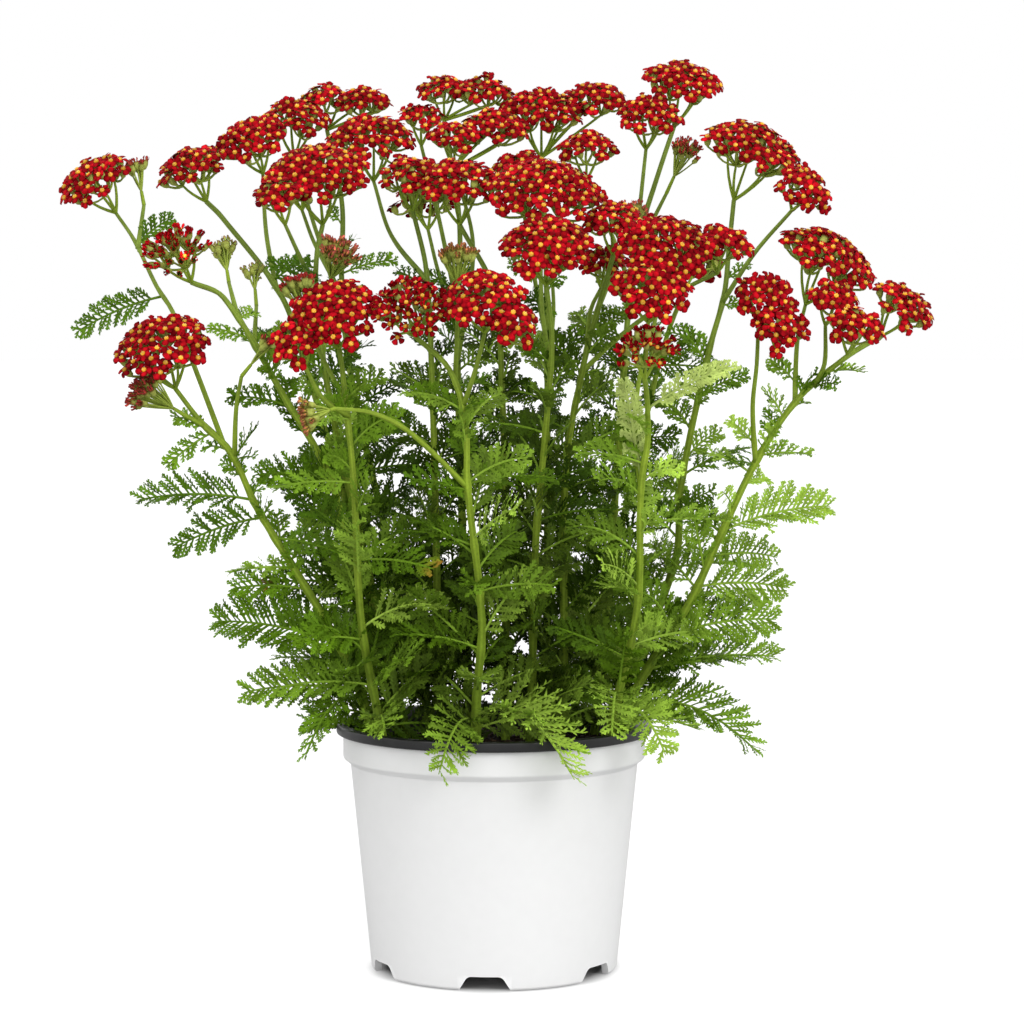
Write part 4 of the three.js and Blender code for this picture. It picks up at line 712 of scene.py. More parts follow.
def pinna_frames(rng, frame, share, sign, length, wild, slim):
    """How long each pinna is, and the ways that run along, across and up from it."""
    ahead, face, side = frame
    roll = wild * (rng.normal(0, ROLL_SPREAD) + rng.normal(0, CURL_SPREAD) * share)[:, None]
    side, face = turned(side, face, roll)
    outline = LEAF_OUTLINE[0] + (LEAF_OUTLINE[1] - LEAF_OUTLINE[0]) * share
    reach = length * LEAF_HALF_WIDTH * (1 - NARROWING * slim) * np.sin(np.pi * outline)
    reach = reach * rng.uniform(*REACHES, len(share))
    sweep = PINNA_SWEEP * rng.uniform(*SWEEPS, len(share)) + END_SWEEP * np.clip(share - 0.6, 0, 1)
    fold = PINNA_LIFT + wild * rng.uniform(*FOLDS) + wild * rng.normal(0, FOLD_SPREAD, len(share))
    tip = side * (sign * reach)[:, None] + ahead * (reach * sweep)[:, None] + face * (reach * fold)[:, None]
    long = np.linalg.norm(tip, axis=1)
    along = tip / long[:, None]
    flat = unit(np.cross(face, along))
    twist = wild * rng.normal(0, TWIST_SPREAD, len(share))[:, None]
    return long, along, *turned(flat, np.cross(along, flat), twist)


def pinna_tones(rng, green, shape, corners, tired):
    """Painted highlight at a pinna's edge and end, a random painted shade for each pinna, painted shade
    deep in the plant and more of it low down near the soil, and brown at a tired leaf's end.
    """
    x, y, _ = shape.T
    # painted highlight: lighter towards the edges and the end of each pinna, and a random painted shade per
    # pinna
    shade = 0.76 + 1.0 * np.abs(y) + 0.34 * x
    tone = green * shade[None, :, None] * rng.uniform(0.74, 1.24, (len(corners), 1, 1))
    # painted shade: darker deep in the plant, and more so low down near the soil
    depth = np.clip(np.hypot(corners[..., 0], corners[..., 1]) / room_at(corners[..., 2]), 0, 1)
    inner = 0.26 * np.interp(corners[..., 2], [120, 200], [0.35, 1.0])
    tone = tone * (inner + (1.06 - inner) * depth**1.3)[..., None]
    return mix(tone, LEAF_TIRED, np.clip(tired * (0.4 + x), 0, 1)).reshape(-1, 3)


def leaf(sheet, rng, base, heading, rise, length, sag=LEAF_SAG, away=-1, lightness=USUAL_LIGHT, tired=0.0,
         pitch=PINNA_PITCH, wild=1.0, slim=0.0):
    """A feather leaf: a thin rib with lobed pinnae on both sides. lightness is how light its green is, its
    own green together with painted light and shade from where it stands, wild how much its pinnae stray,
    and slim how much narrower than usual it is."""
    at, frame_at = leaf_line(base, heading, rise, length, sag, away)
    light = lightness + rng.normal(0, LIGHT_SPREAD)
    green = leaf_green(light)
    shares = np.linspace(0, 1, max(5, int(length / LEAF_RIB_STEP)))
    girths = np.interp(shares, [0, 1], LEAF_RIB_GIRTHS) * (0.55 + 0.45 * min(1, length / 50))
    rib_tones = mix(leaf_green(light + 0.35), green, 0.4 + 0.6 * shares)
    tube(sheet, at(shares), girths, LEAF_RIB_SIDES, rib_tones)
    wing_tones = mix(leaf_green(light + 0.15), green, np.linspace(0, 1, WING_STEPS))
    winged_rib(sheet, at, frame_at, length, wing_tones)

    share, sign = pinna_feet(rng, length, pitch)
    long, along, flat, up = pinna_frames(rng, frame_at(share), share, sign, length, wild, slim)
    droop = rng.normal(DROOP, DROOP_SPREAD, len(share))
    feet = at(share)
    lobes = np.clip(np.round((long - PINNA_END) / LOBE_PITCH), 1, MOST_LOBES).astype(int)
    for count in np.unique(lobes):
        for kind in range(PINNA_KINDS):
            pick = np.flatnonzero((lobes == count) & (np.arange(len(share)) % PINNA_KINDS == kind))
            if not len(pick):
                continue
            shape, faces = PINNA_SHAPES[int(count)][kind]
            x, y, z = shape.T
            size = long[pick][:, None]
            corners = (feet[pick][:, None] + along[pick][:, None] * (size * x)[..., None]
                       + flat[pick][:, None] * (size * y)[..., None]
                       + up[pick][:, None] * (size * (z - droop[pick][:, None] * x**2))[..., None])
            tones = pinna_tones(rng, green, shape, corners, tired * (share[pick][:, None] * 4 - 3))
            sheet.add(corners, [copies(faces, len(pick), len(shape))], tones)


def stem_points(branch):
    return [np.array([p[0], p[1], p[2] if len(p) > 2 else STEM_FOOT], float) for p in branch["path"]]


def at_height(points, height):
    """The point of a path at a height, or in line with its last two points above its end."""
    for lower, upper in zip(points, points[1:]):
        if upper[2] >= height:
            break
    return lower + (upper - lower) * (height - lower[2]) / (upper[2] - lower[2])


def turn_of_leaf(solid, base, plan):
    """The turn from its heading that the solid leaf has, found by where its tip is."""
    _, heading, rise, length, *rest = plan
    sag = rest[0] if rest else LEAF_SAG
    tips = [leaf_tip(base, heading + turn, rise, length, sag) for turn in LEAF_TURNS]
    misses = [np.linalg.norm(solid - tip, axis=1).min() for tip in tips]
    return LEAF_TURNS[int(np.argmin(np.array(misses) + 1e-3 * np.arange(len(misses))))]


# ---------------------------------------------------------------- flower heads


def rays_shape(rng, rays, openness):
    """The broad notched rays of one flower head and its disc, the rays raised where it is less open.
    Each ray is painted darker at its sides and tip as shade, and has a random painted shade for its tilt.
    """
    sheet = Sheet()
    outline, columns = ((RAY_OUTLINE, RAY_COLUMNS) if openness > 0
                        else (FOLDED_RAY_OUTLINE, FOLDED_RAY_COLUMNS))
    across = np.linspace(-1, 1, columns)
    notch = RAY_NOTCH * np.abs(np.cos(np.pi * across))
    start = rng.uniform(0, 2 * math.pi)
    for k in range(rays):
        bearing = start + (k + rng.normal(0, 0.07)) * 2 * math.pi / rays
        size = rng.uniform(*RAY_SIZES)
        wide = RAY_HALF_WIDTH * size * USUAL_RAYS / rays * (0.55 + 0.45 * min(1, openness * 1.6))
        tilt = math.radians(RAY_SHUT) * (1 - openness) + rng.normal(0.02, 0.20)
        roll = rng.normal(0, 0.16)
        rows = []
        for share, half in outline:
            r = RAY_LENGTH * size * share * (1 - 0.17 * share * across**2) - notch * share**3
            y = across * wide * half
            arch = 0.35 * math.sin(math.pi * share) - 0.55 * share**2 * openness
            lift = arch - 0.30 * across**2 * share + roll * y
            bulge = (1 - openness) * (0.35 + 0.9 * math.sin(0.8 * math.pi * share))
            x = RAY_START + bulge + r * math.cos(tilt) - lift * math.sin(tilt)
            rows.append(np.column_stack([x, y, r * math.sin(tilt) + lift * math.cos(tilt)]))
        a = (np.arange(len(rows) - 1)[:, None] * columns + np.arange(columns - 1)).ravel()
        share = np.repeat([share for share, _ in outline], columns)
        edge = np.tile(np.abs(across), len(outline))
        # painted shade: darker towards the ray's sides and at its tip; the warmer red near the disc is its
        # own colour
        tone = mix(mix(RED_WARM, RED_BRIGHT, np.clip(share * 2.6, 0, 1)), RED_PAINTED_SHADE,
                   np.clip(0.80 * edge**2 + 0.22 * (share > 0.9), 0, 1))
        # each ray also gets a random painted shade, for its own tilt to the light
        sheet.add(np.vstack(rows) @ spin_about_z(bearing)[0].T,
                  [np.stack([a, a + columns, a + columns + 1, a + 1], axis=1)],
                  tone * rng.uniform(*RAY_PAINTED_SHADES))
    if openness > 0:
        add_disc(sheet, rng)
    return sheet.shape()


def add_disc(sheet, rng):
    """The low dome in the middle of a flower head, and the tiny florets on it."""
    rings = [ring(r, z, angles(DISC_SIDES)) for r, z in DISC_RINGS]
    sheet.add(np.vstack(rings + [[[0, 0, DISC_TOP]]]),
              [bands(2, DISC_SIDES), fan(DISC_SIDES, 2 * DISC_SIDES, DISC_SIDES)],
              np.vstack([np.tile(DISC_RIM, (DISC_SIDES, 1)), np.tile(DISC_GOLD, (DISC_SIDES + 1, 1))]))
    for k in range(FLORETS + 1):
        bearing = k * 2 * math.pi / FLORETS + rng.uniform(-0.3, 0.3)
        away = FLORET_CIRCLE if k < FLORETS else 0.0
        middle = away * np.array([math.cos(bearing), math.sin(bearing), 0])
        foot = ring(rng.uniform(0.32, 0.44), 0.55 if away else 0.75, angles(FLORET_SIDES) + bearing)
        foot = foot + middle
        tip = middle * 1.1 + UP * rng.uniform(1.1, 1.5)
        sheet.add(np.vstack([foot, tip]), [fan(FLORET_SIDES, FLORET_SIDES)],
                  np.vstack([np.tile(DISC_GOLD, (FLORET_SIDES, 1)), DISC_CREAM]))


def cup_shape(rng, sides):
    """The green scaly cup under a flower head, its top ring painted dark as shade under the rays."""
    corners, tones = [], []
    for row, (r, z) in enumerate(CUP_RINGS):
        t = angles(sides, 0.5 * (row % 2))
        corners.append(ring(r * (1 + 0.05 * np.cos(t * sides / 2 + row)), z, t))
        mouth = row == len(CUP_RINGS) - 1
        # the top ring is painted dark, as shade under the rays
        tones.append(np.tile(CUP_MOUTH_SHADE, (sides, 1)) if mouth
                     else mix(CUP_GREEN, CUP_EDGE, 0.5 * (row % 2) * rng.uniform(0.5, 1.0, sides)))
    return np.vstack(corners), [bands(len(CUP_RINGS), sides)], np.vstack(tones)


def head_shapes():
    """The rays of flower heads, kind by kind at each step of opening, then two lists of cups."""
    rng = np.random.default_rng(HEAD_SEED)
    rays = [rays_shape(rng, rays, step / OPENING_STEPS)
            for step in range(OPENING_STEPS + 1) for rays in RAY_KINDS]
    cups = [[cup_shape(rng, sides) for _ in range(CUP_KINDS)] for sides in (CUP_SIDES, BUD_CUP_SIDES)]
    return rays, *cups


RAY_SHAPES, CUP_SHAPES, BUD_CUP_SHAPES = head_shapes()


def head_frame(head):
    """The middle of a head's rim, its radius, the way it faces, and the turn that brings +Z there."""
    x, y, z, radius, *facing = head
    normal = unit(np.array(facing, float))
    return np.array([x, y, z], float), radius, normal, turn_to(normal)[0]


def head_foot(head):
    middle, radius, normal, _ = head_frame(head)
    return middle - normal * (STALK_DROP_GROWTH * radius + STALK_DROP)


def seats(rng, reach, pitch):
    """Places spread evenly over a round head at about one pitch from each other."""
    count = max(3, int(round(math.pi * reach**2 / (CLOSE_PACKING * pitch**2))))
    order = np.arange(count) + 0.5
    away = reach * np.sqrt(order / (count - 0.3))
    bearing = order * math.pi * (3 - math.sqrt(5)) + rng.uniform(0, 2 * math.pi)
    places = np.column_stack([away * np.cos(bearing), away * np.sin(bearing)])
    return places + rng.normal(0, HEAD_SPREAD * pitch, places.shape)


def flower_head(rays, green, rng, head, root, openness, red):
    """The flower heads of one flat cluster, on their cups and stalks."""
    middle, radius, normal, turn = head_frame(head)
    rim = radius - RIM_INSET
    flat = seats(rng, rim + 1.0, HEAD_PITCH * (1 - CROWDING * (1 - openness)))
    count = len(flat)
    r2 = (flat**2).sum(1) / rim**2
    loose = 1 + 2.2 * max(0, 0.8 - openness)
    height = CROWN_RISE * rim * (1 - r2) - EDGE_DROP * r2**3 + 1.5 + rng.normal(0, 0.7 * loose, count)
    steep = (2 * CROWN_RISE / rim + 6 * EDGE_DROP * r2**2 / rim**2)[:, None]
    tilt = steep * flat * HEAD_TILT * loose + rng.normal(0, TILT_SPREAD, flat.shape) - [0, TILT_FORWARD]
    places = np.column_stack([flat, height]) @ turn.T + middle
    turns = turn @ turn_to(unit(np.column_stack([tilt, np.ones(count)])))
    spun = turns @ spin_about_z(rng.uniform(0, 2 * math.pi, count))
    step = np.round(OPENING_STEPS * (openness + rng.normal(0, 0.06, count)))
    step = np.clip(step, 0, OPENING_STEPS).astype(int)
    size = (HEAD_SIZE + HEAD_GROWTH * step)[:, None, None]
    long = size * [1, 1, 1.1 - 0.1 * openness]
    kind = rng.integers(0, len(RAY_KINDS), count)
    tint = red * rng.uniform(0.62, 1.22, (count, 1))
    place(rays, RAY_SHAPES, step * len(RAY_KINDS) + kind, spun * size, places, tint)
    place(green, CUP_SHAPES, kind % CUP_KINDS, spun * long, places, rng.uniform(0.8, 1.15, (count, 1)))

    up = turns @ UP
    feet = places - up * CUP_FOOT * long[:, 0, 2:]
    hubs_count = 3 if radius < 16 else 4 if radius < 22 else 5
    hubs = ring(STALK_REACH * rim * 0.85, -(0.22 * rim + 3.0), angles(hubs_count, 0.25))
    nearest = np.argmin(((flat[:, None] - hubs[None, :, :2])**2).sum(-1), axis=1)
    outward = hubs * [1, 1, 0] @ turn.T
    hubs = hubs @ turn.T + middle
    start = hubs[nearest]
    bends = start * 0.45 + feet * 0.55 - normal * 1.2 - up * 1.5
    arc_stalks(green, start, bends, feet, STALK_GIRTHS, STALK_GREEN)
    roots = np.repeat(root[None], hubs_count, axis=0)
    bends = (roots + hubs) / 2 + outward * 0.22
    arc_stalks(green, roots, bends, hubs, HUB_GIRTHS, STEM_HIGH, sides=5, steps=4)


def bud_cluster(green, rng, cluster, root, tip):
    """Small closed buds on short stalks that fan out from a common one."""
    *middle, radius = cluster
    middle = np.array(middle, float)
    normal = unit(middle - root)
    turn = turn_to(normal)[0]
    flat = seats(rng, radius - 0.5, BUD_PITCH)
    count = len(flat)
    height = 0.3 * radius * (1 - (flat**2).sum(1) / radius**2) + rng.normal(0, 1.3, count)
    tilt = flat / radius * 0.6 + rng.normal(0, 0.15, flat.shape)
    places = np.column_stack([flat, height]) @ turn.T + middle
    size = rng.uniform(*BUD_SIZES, (count, 1, 1))
    turns = turn @ turn_to(unit(np.column_stack([tilt, np.ones(count)])))
    turns = turns @ spin_about_z(rng.uniform(0, 2 * math.pi, count))
    shade = rng.uniform(0.85, 1.2, (count, 1))
    kind = np.arange(count) % CUP_KINDS
    place(green, BUD_CUP_SHAPES, kind, turns * size, places, shade)
    place(green, RAY_SHAPES, kind, turns * size * BUD_TIP_SIZE, places, shade * tip)
    feet = places - turns @ UP * CUP_FOOT * size[:, 0]
    hub = middle - normal * min(np.linalg.norm(middle - root) * 0.8, radius + 8.0)
    start = np.repeat(hub[None], count, axis=0)
    bends = start * 0.45 + feet * 0.55 - normal
    arc_stalks(green, start, bends, feet, BUD_STALK_GIRTHS, STALK_GREEN)
    arc_stalks(green, root[None], (root + hub)[None] / 2, hub[None], BUD_HUB_GIRTHS, STEM_HIGH, sides=7)


# ---------------------------------------------------------------- materials


def add_node(tree, kind, values=None, links=None, **settings):
    """A node with values on some of its inputs, others linked, and settings of its own."""
    node = tree.nodes.new(kind)
    for name, setting in settings.items():
        setattr(node, name, setting)
    fill_inputs(tree, node, values or {}, links or {})
    return node


def fill_inputs(tree, node, values, links):
    for name, value in values.items():
        node.inputs[name].default_value = value
    for name, socket in links.items():
        tree.links.new(socket, node.inputs[name])


def noise(tree, scale, detail=3.0):
    coord = add_node(tree, "ShaderNodeTexCoord")
    return add_node(tree, "ShaderNodeTexNoise", {"Scale": scale, "Detail": detail, "Roughness": 0.55},
                    {"Vector": coord.outputs["Object"]}).outputs["Fac"]


def ramp(tree, value, start, end, low, high):
    """From low where the value is at start to high where it is at end, and level beyond them."""
    values = {"From Min": start, "From Max": end, "To Min": low, "To Max": high}
    return add_node(tree, "ShaderNodeMapRange", values, {"Value": value}).outputs["Result"]


def patchy(tree, scale, low, high):
    return ramp(tree, noise(tree, scale), 0.3, 0.7, low, high)


def surface(name, roughness, patches, grain, specular=0.5, uneven=0.06):
    """A material of the corners' own colours, with patches (scale, low, high) of shade and a bumpy
    grain (scale, strength, height in metres)."""
    material = bpy.data.materials.new(name)
    material.use_nodes = True
    tree = material.node_tree
    shade = add_node(tree, "ShaderNodeVertexColor", layer_name="tone").outputs["Color"]
    for patch in patches:
        shade = add_node(tree, "ShaderNodeVectorMath", None, {0: shade, "Scale": patchy(tree, *patch)},
                         operation="SCALE").outputs["Vector"]
    scale, strength, height = grain
    bump = add_node(tree, "ShaderNodeBump", {"Strength": strength, "Distance": height},
                    {"Height": noise(tree, scale, detail=2.0)})
    rough = patchy(tree, patches[0][0] * 1.7, roughness - uneven, roughness + uneven)
    fill_inputs(tree, tree.nodes["Principled BSDF"], {"Specular IOR Level": specular},
                {"Base Color": shade, "Roughness": rough, "Normal": bump.outputs["Normal"]})
    return material


PETALS = surface("petals", 0.52, [(420, 0.62, 1.28), (1400, 0.84, 1.12)], (2600, 0.5, 0.00012),
                 specular=0.02)
FOLIAGE = surface("foliage", 0.58, [(140, 0.84, 1.14), (900, 0.88, 1.10)], (1800, 0.5, 0.00015),
                  specular=0.10)
WHITE_PLASTIC = surface("white_plastic", 0.36, [(9, 0.975, 1.01), (160, 0.99, 1.005)],
                        (1100, 0.25, 0.00003), uneven=0.04)
BLACK_PLASTIC = surface("black_plastic", 0.34, [(60, 0.8, 1.3), (700, 0.8, 1.25)], (1500, 0.35, 0.00004))
SOIL_STUFF = surface("potting_soil", 0.93, [(120, 0.55, 1.5), (700, 0.5, 1.5)], (420, 0.9, 0.0012),
                     specular=0.2)

# ---------------------------------------------------------------- the pot and its soil


def body_radius(height):
    """Outside radius of the shell's body at a height."""
    share = (height - POT_FOOT_BEVEL) / (POT_COLLAR_BOTTOM - POT_FOOT_BEVEL)
    return POT_FOOT_RADIUS + (POT_BODY_TOP_RADIUS - POT_FOOT_RADIUS) * share


def liner_outside(height):
    return body_radius(height) - SHELL_WALL - LINER_FIT


def liner_inside(height):
    return liner_outside(height) - LINER_WALL


def rounded(corner, start, end, radius, steps=BEND_STEPS):
    """A quarter bend in the plane of a profile, in place of a sharp corner."""
    corner, start, end = (np.array(p, float) for p in (corner, start, end))
    one, two = corner + unit(start - corner) * radius, corner + unit(end - corner) * radius
    t = np.linspace(0, 1, steps + 1)[:, None]
    return [tuple(p) for p in (1 - t)**2 * one + 2 * t * (1 - t) * corner + t**2 * two]


def revolved(name, profile, sides, colour, material):
    """A closed round body. Its profile starts and ends on the axis, as points (radius, height) that
    are sharp or (radius, height, bend) that are rounded."""
    points = []
    for i, (r, z, *bend) in enumerate(profile):
        points += rounded((r, z), profile[i - 1][:2], profile[i + 1][:2], bend[0]) if bend else [(r, z)]
    rings = np.array([ring(r, z, angles(sides)) for r, z in points[1:-1]])
    sheet = Sheet()
    round_body(sheet, rings, [[0, 0, points[0][1]], [0, 0, points[-1][1]]], colour)
    return make_object(name, sheet, material)


def cut(obj, cutters):
    """The object less its cutters, which are removed."""
    for cutter in cutters:
        step = obj.modifiers.new("cut", "BOOLEAN")
        step.operation, step.solver, step.object = "DIFFERENCE", "EXACT", cutter
    bpy.context.view_layer.update()
    whole = bpy.data.meshes.new_from_object(obj.evaluated_get(bpy.context.evaluated_depsgraph_get()))
    obj.modifiers.clear()
    obj.data = whole
    obj.data.set_sharp_from_angle(angle=math.radians(CREASE))
    for cutter in cutters:
        bpy.data.objects.remove(cutter)


def drain_cutter(index):
    bearing = math.radians(45 + 360 / DRAINS * index)
    profile = [(0, CUT_PAST), (DRAIN_RADIUS, CUT_PAST), (DRAIN_RADIUS, DRAIN_TOP), (0, DRAIN_TOP)]
    cutter = revolved(f"drain_{index}", profile, DRAIN_SIDES, WHITE, WHITE_PLASTIC)
    cutter.location = np.array([math.cos(bearing), math.sin(bearing), 0]) * DRAIN_CIRCLE * MM
    return cutter


def notch_cutter(index):
    """A bar with the notch's outline, through the foot ring from inside to outside."""
    foot, top = NOTCH_FOOT_WIDTH / 2, NOTCH_TOP_WIDTH / 2
    right = rounded((top, NOTCH_HEIGHT), (-top, NOTCH_HEIGHT), (foot, 0), NOTCH_BEND, NOTCH_STEPS)
    right.append((foot + POT_FOOT_BEVEL, -CUT_PAST))
    outline = [(-y, z) for y, z in right[::-1]] + right
    flat = np.array([(0, y, z) for y, z in outline])
    turn = spin_about_z(math.radians(NOTCH_PHASE + 360 / NOTCHES * index))[0]
    corners = np.vstack([flat + ACROSS * reach for reach in (NOTCH_FROM, NOTCH_TO)]) @ turn.T
    count = len(outline)
    end = np.array([(0, k, k + 1) for k in range(1, count - 1)])
    sheet = Sheet()
    sheet.add(corners, [bands(2, count)[:, [0, 3, 2, 1]], end, end[:, [0, 2, 1]] + count], WHITE)
    return make_object(f"notch_{index}", sheet, WHITE_PLASTIC)


def make_pot_shell():
    outer, inner = POT_COLLAR_RADIUS, POT_COLLAR_RADIUS - SHELL_WALL
    step, floor_top = POT_COLLAR_BOTTOM + POT_COLLAR_STEP, POT_FLOOR + SHELL_WALL
    foot_inside, top = POT_FOOT_RADIUS - POT_FOOT_WIDTH, POT_LIP_BOTTOM - FIT_GAP
    shell = revolved("pot_shell_moulded", [
        (0, POT_FLOOR), (foot_inside, POT_FLOOR), (foot_inside - POT_FOOT_BEVEL, 0, FOOT_BENDS[0]),
        (POT_FOOT_RADIUS - 1.0, 0, FOOT_BENDS[1]), (POT_FOOT_RADIUS, POT_FOOT_BEVEL, FOOT_BENDS[2]),
        *[(body_radius(height), height) for height in WALL_RINGS],
        (POT_BODY_TOP_RADIUS, POT_COLLAR_BOTTOM, COLLAR_BENDS[0]), (outer, step, COLLAR_BENDS[1]),
        (outer, top, RIM_BENDS[0]), (inner, top, RIM_BENDS[1]), (inner, step),
        (POT_BODY_TOP_RADIUS - SHELL_WALL, POT_COLLAR_BOTTOM),
        (body_radius(floor_top) - SHELL_WALL, floor_top), (0, floor_top)], POT_SIDES, WHITE, WHITE_PLASTIC)
    cut(shell, [notch_cutter(i) for i in range(NOTCHES)] + [drain_cutter(i) for i in range(DRAINS)])
    return shell


def make_pot_liner():
    floor = POT_FLOOR + SHELL_WALL + FIT_GAP
    inside, bottom, outer, top = floor + LINER_WALL, POT_LIP_BOTTOM, POT_LIP_RADIUS, POT_LIP_TOP
    liner = revolved("pot_liner_moulded", [
        (0, floor), (liner_outside(floor), floor, LINER_BENDS[0]),
        (liner_outside(bottom), bottom, LINER_BENDS[1]), (outer, bottom, LIP_BENDS[0]),
        (outer, top, LIP_BENDS[1]), (outer - POT_LIP_WIDTH, top, LIP_BENDS[2]),
        (liner_inside(bottom), bottom, LINER_BENDS[2]), (liner_inside(inside), inside, LINER_BENDS[3]),
        (0, inside)], POT_SIDES, BLACK, BLACK_PLASTIC)
    cut(liner, [drain_cutter(i) for i in range(DRAINS)])
    return liner


def pebble(rng, size):
    """A small rough lump: a stretched and dented icosahedron."""
    g = (1 + math.sqrt(5)) / 2
    corners = unit(np.array([(-1, g, 0), (1, g, 0), (-1, -g, 0), (1, -g, 0), (0, -1, g), (0, 1, g),
                             (0, -1, -g), (0, 1, -g), (g, 0, -1), (g, 0, 1), (-g, 0, -1), (-g, 0, 1)]))
    faces = np.array([(0, 11, 5), (0, 5, 1), (0, 1, 7), (0, 7, 10), (0, 10, 11), (1, 5, 9), (5, 11, 4),
                      (11, 10, 2), (10, 7, 6), (7, 1, 8), (3, 9, 4), (3, 4, 2), (3, 2, 6), (3, 6, 8),
                      (3, 8, 9), (4, 9, 5), (2, 4, 11), (6, 2, 10), (8, 6, 7), (9, 8, 1)])
    stretch = size * rng.uniform([0.6, 0.6, 0.35], [1.5, 1.1, 0.8])
    return corners * stretch * rng.uniform(0.8, 1.15, (12, 1)), faces


def soil_height(waves, x, y):
    share = np.hypot(x, y) / (liner_inside(SOIL_TOP) - SOIL_FIT)
    height = SOIL_TOP + np.interp(share, SOIL_SHARES, SOIL_LIFTS)
    for ahead, aside, phase, size in waves:
        height = height + size * np.sin(ahead * x + aside * y + phase)
    return height


def make_soil():
    """The filling of the liner, with crumbs, bark and perlite on its uneven top."""
    rng = np.random.default_rng(SOIL_SEED)
    waves = [(rng.normal(0, pitch), rng.normal(0, pitch), rng.uniform(0, 6), size)
             for pitch, size in SOIL_WAVES]
    floor = POT_FLOOR + SHELL_WALL + 2 * FIT_GAP + LINER_WALL
    edge = liner_inside(SOIL_TOP + SOIL_LIFTS[-1]) - SOIL_FIT
    t = angles(SOIL_SIDES)
    radii = edge * np.linspace(1, SOIL_MIDDLE, SOIL_RINGS)**SOIL_EASE
    rings = np.array([ring(radius, 0, t) for radius in radii])
    rings[..., 2] = soil_height(waves, rings[..., 0], rings[..., 1])
    rings[..., 2] += rng.normal(0, SOIL_ROUGHNESS, rings.shape[:2])
    ends = [[0, 0, floor], [0, 0, rings[-1, :, 2].mean()]]
    foot = ring(liner_inside(floor) - SOIL_FIT, floor, t)
    sheet = Sheet()
    round_body(sheet, np.concatenate([foot[None], rings]), ends, SOIL_DARK)
    for _ in range(CRUMBS):
        r, bearing = (edge - 2) * math.sqrt(rng.uniform(0, 1)), rng.uniform(0, 2 * math.pi)
        size = rng.choice(CRUMB_SIZES, p=CRUMB_SHARES)
        lump, faces = pebble(rng, size)
        x, y = r * math.cos(bearing), r * math.sin(bearing)
        lump = lump @ spin_about_z(rng.uniform(0, 6))[0].T + [x, y, soil_height(waves, x, y) + 0.1 * size]
        colour = (SOIL_DARK * 0.9, SOIL_BARK, SOIL_LIGHT)[rng.choice(3, p=CRUMB_KINDS)]
        sheet.add(lump, [faces], colour * rng.uniform(0.6, 1.3))
    return make_object("soil_surface", sheet, SOIL_STUFF)


# ---------------------------------------------------------------- the plant


def keep(piece, node):
    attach(piece, "root")
    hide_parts(node)


def make_bloom(name, heads, index):
    """The flower heads of a bloom, and the cups and stalks that they stand on."""
    rng = np.random.default_rng(BLOOM_SEED + index)
    rays, green = Sheet(), Sheet()
    for head in heads:
        root = head_foot(heads[0] if name in SHARED_FEET else head)
        flower_head(rays, green, rng, head, root, OPENNESS.get(name, 1.0), DEPTH_OF_RED.get(name, 1.0))
    keep(make_object(f"{name}_flowers", rays, PETALS), name)
    keep(make_object(f"{name}_cups", green, FOLIAGE), name)


def branch_line(branch, step):
    points = stem_points(branch)
    if "heads" in branch:
        bloom, which = branch["heads"][0]
        points.append(head_foot(BLOOMS[bloom][which]))
    return points, smooth_line(points, step)


def swollen(line, radii, places):
    """The radii with a slight swelling at each place where something leaves the limb."""
    for point in places:
        distance = np.linalg.norm(line - point, axis=1)
        radii = radii * (1 + JOINT_SWELLING * np.exp(-(distance / JOINT_REACH)**2))
    return radii


def room_at(height):
    """How far from the pot's middle line the fill leaves may reach."""
    return np.interp(height, ROOM_HEIGHTS, ROOM_REACHES)


def away_at(base):
    """Leaves show their upper side to the front, or to the back where they stand there."""
    return 1 if base[1] > BACK_OF_PLANT else -1


def fill_leaves(sheet, rng, points):
    """The many leaves of the dense lower part, all round a stem."""
    height, bearing = rng.uniform(*FILL_START), rng.uniform(0, 360)
    top = min(points[-1][2] - 10, FILL_TOP_OUTSIDE if abs(points[-1][0]) > OUTSIDE else FILL_TOP)
    while height < top:
        share = min(1.1, (height - FILL_FOOT) / FILL_HEIGHT)
        base = at_height(points, height)
        length = (FILL_LONG[0] - FILL_LONG[1] * share) * rng.uniform(0.8, 1.15)
        rise = rng.uniform(*(FILL_RISES if height > FILL_LOW else FILL_LOW_RISES))
        sag = rng.uniform(*FILL_SAGS)
        tip = leaf_tip(base, bearing, rise, length, sag)
        reach, foot = np.hypot(tip[0], tip[1] * ROOM_SQUEEZE), np.hypot(base[0], base[1])
        if reach > room_at(tip[2]) and height > ROOMY_BELOW:
            length = min(length, rng.uniform(*FILL_SHORT))
            tip = leaf_tip(base, bearing, rise, length, sag)
            past = ROOM_PAST if foot > 0.8 * room_at(tip[2]) else 0
            reach = np.hypot(tip[0], tip[1] * ROOM_SQUEEZE) - past
        if reach < max(room_at(tip[2]), foot) and tip[2] > LOWEST_TIP:
            light = FILL_LIGHT + FILL_LIGHT_SPAN * rng.uniform()
            # painted light to the right and painted shade to the back
            light += PAINTED_LIGHT_ACROSS * tip[0] - FILL_PAINTED_SHADE_BACK * tip[1]
            leaf(sheet, rng, base, bearing, rise, length, sag, away_at(base), light,
                 pitch=FILL_LEAF_PITCH, slim=0.5 * share)
        bearing += FILL_TURN + rng.normal(0, FILL_TURN_SPREAD)
        closer = FILL_CLOSER if height < FILL_CLOSE_BELOW else 1.0
        height += rng.uniform(*FILL_STEPS) * (1.2 - 0.2 * share) * closer


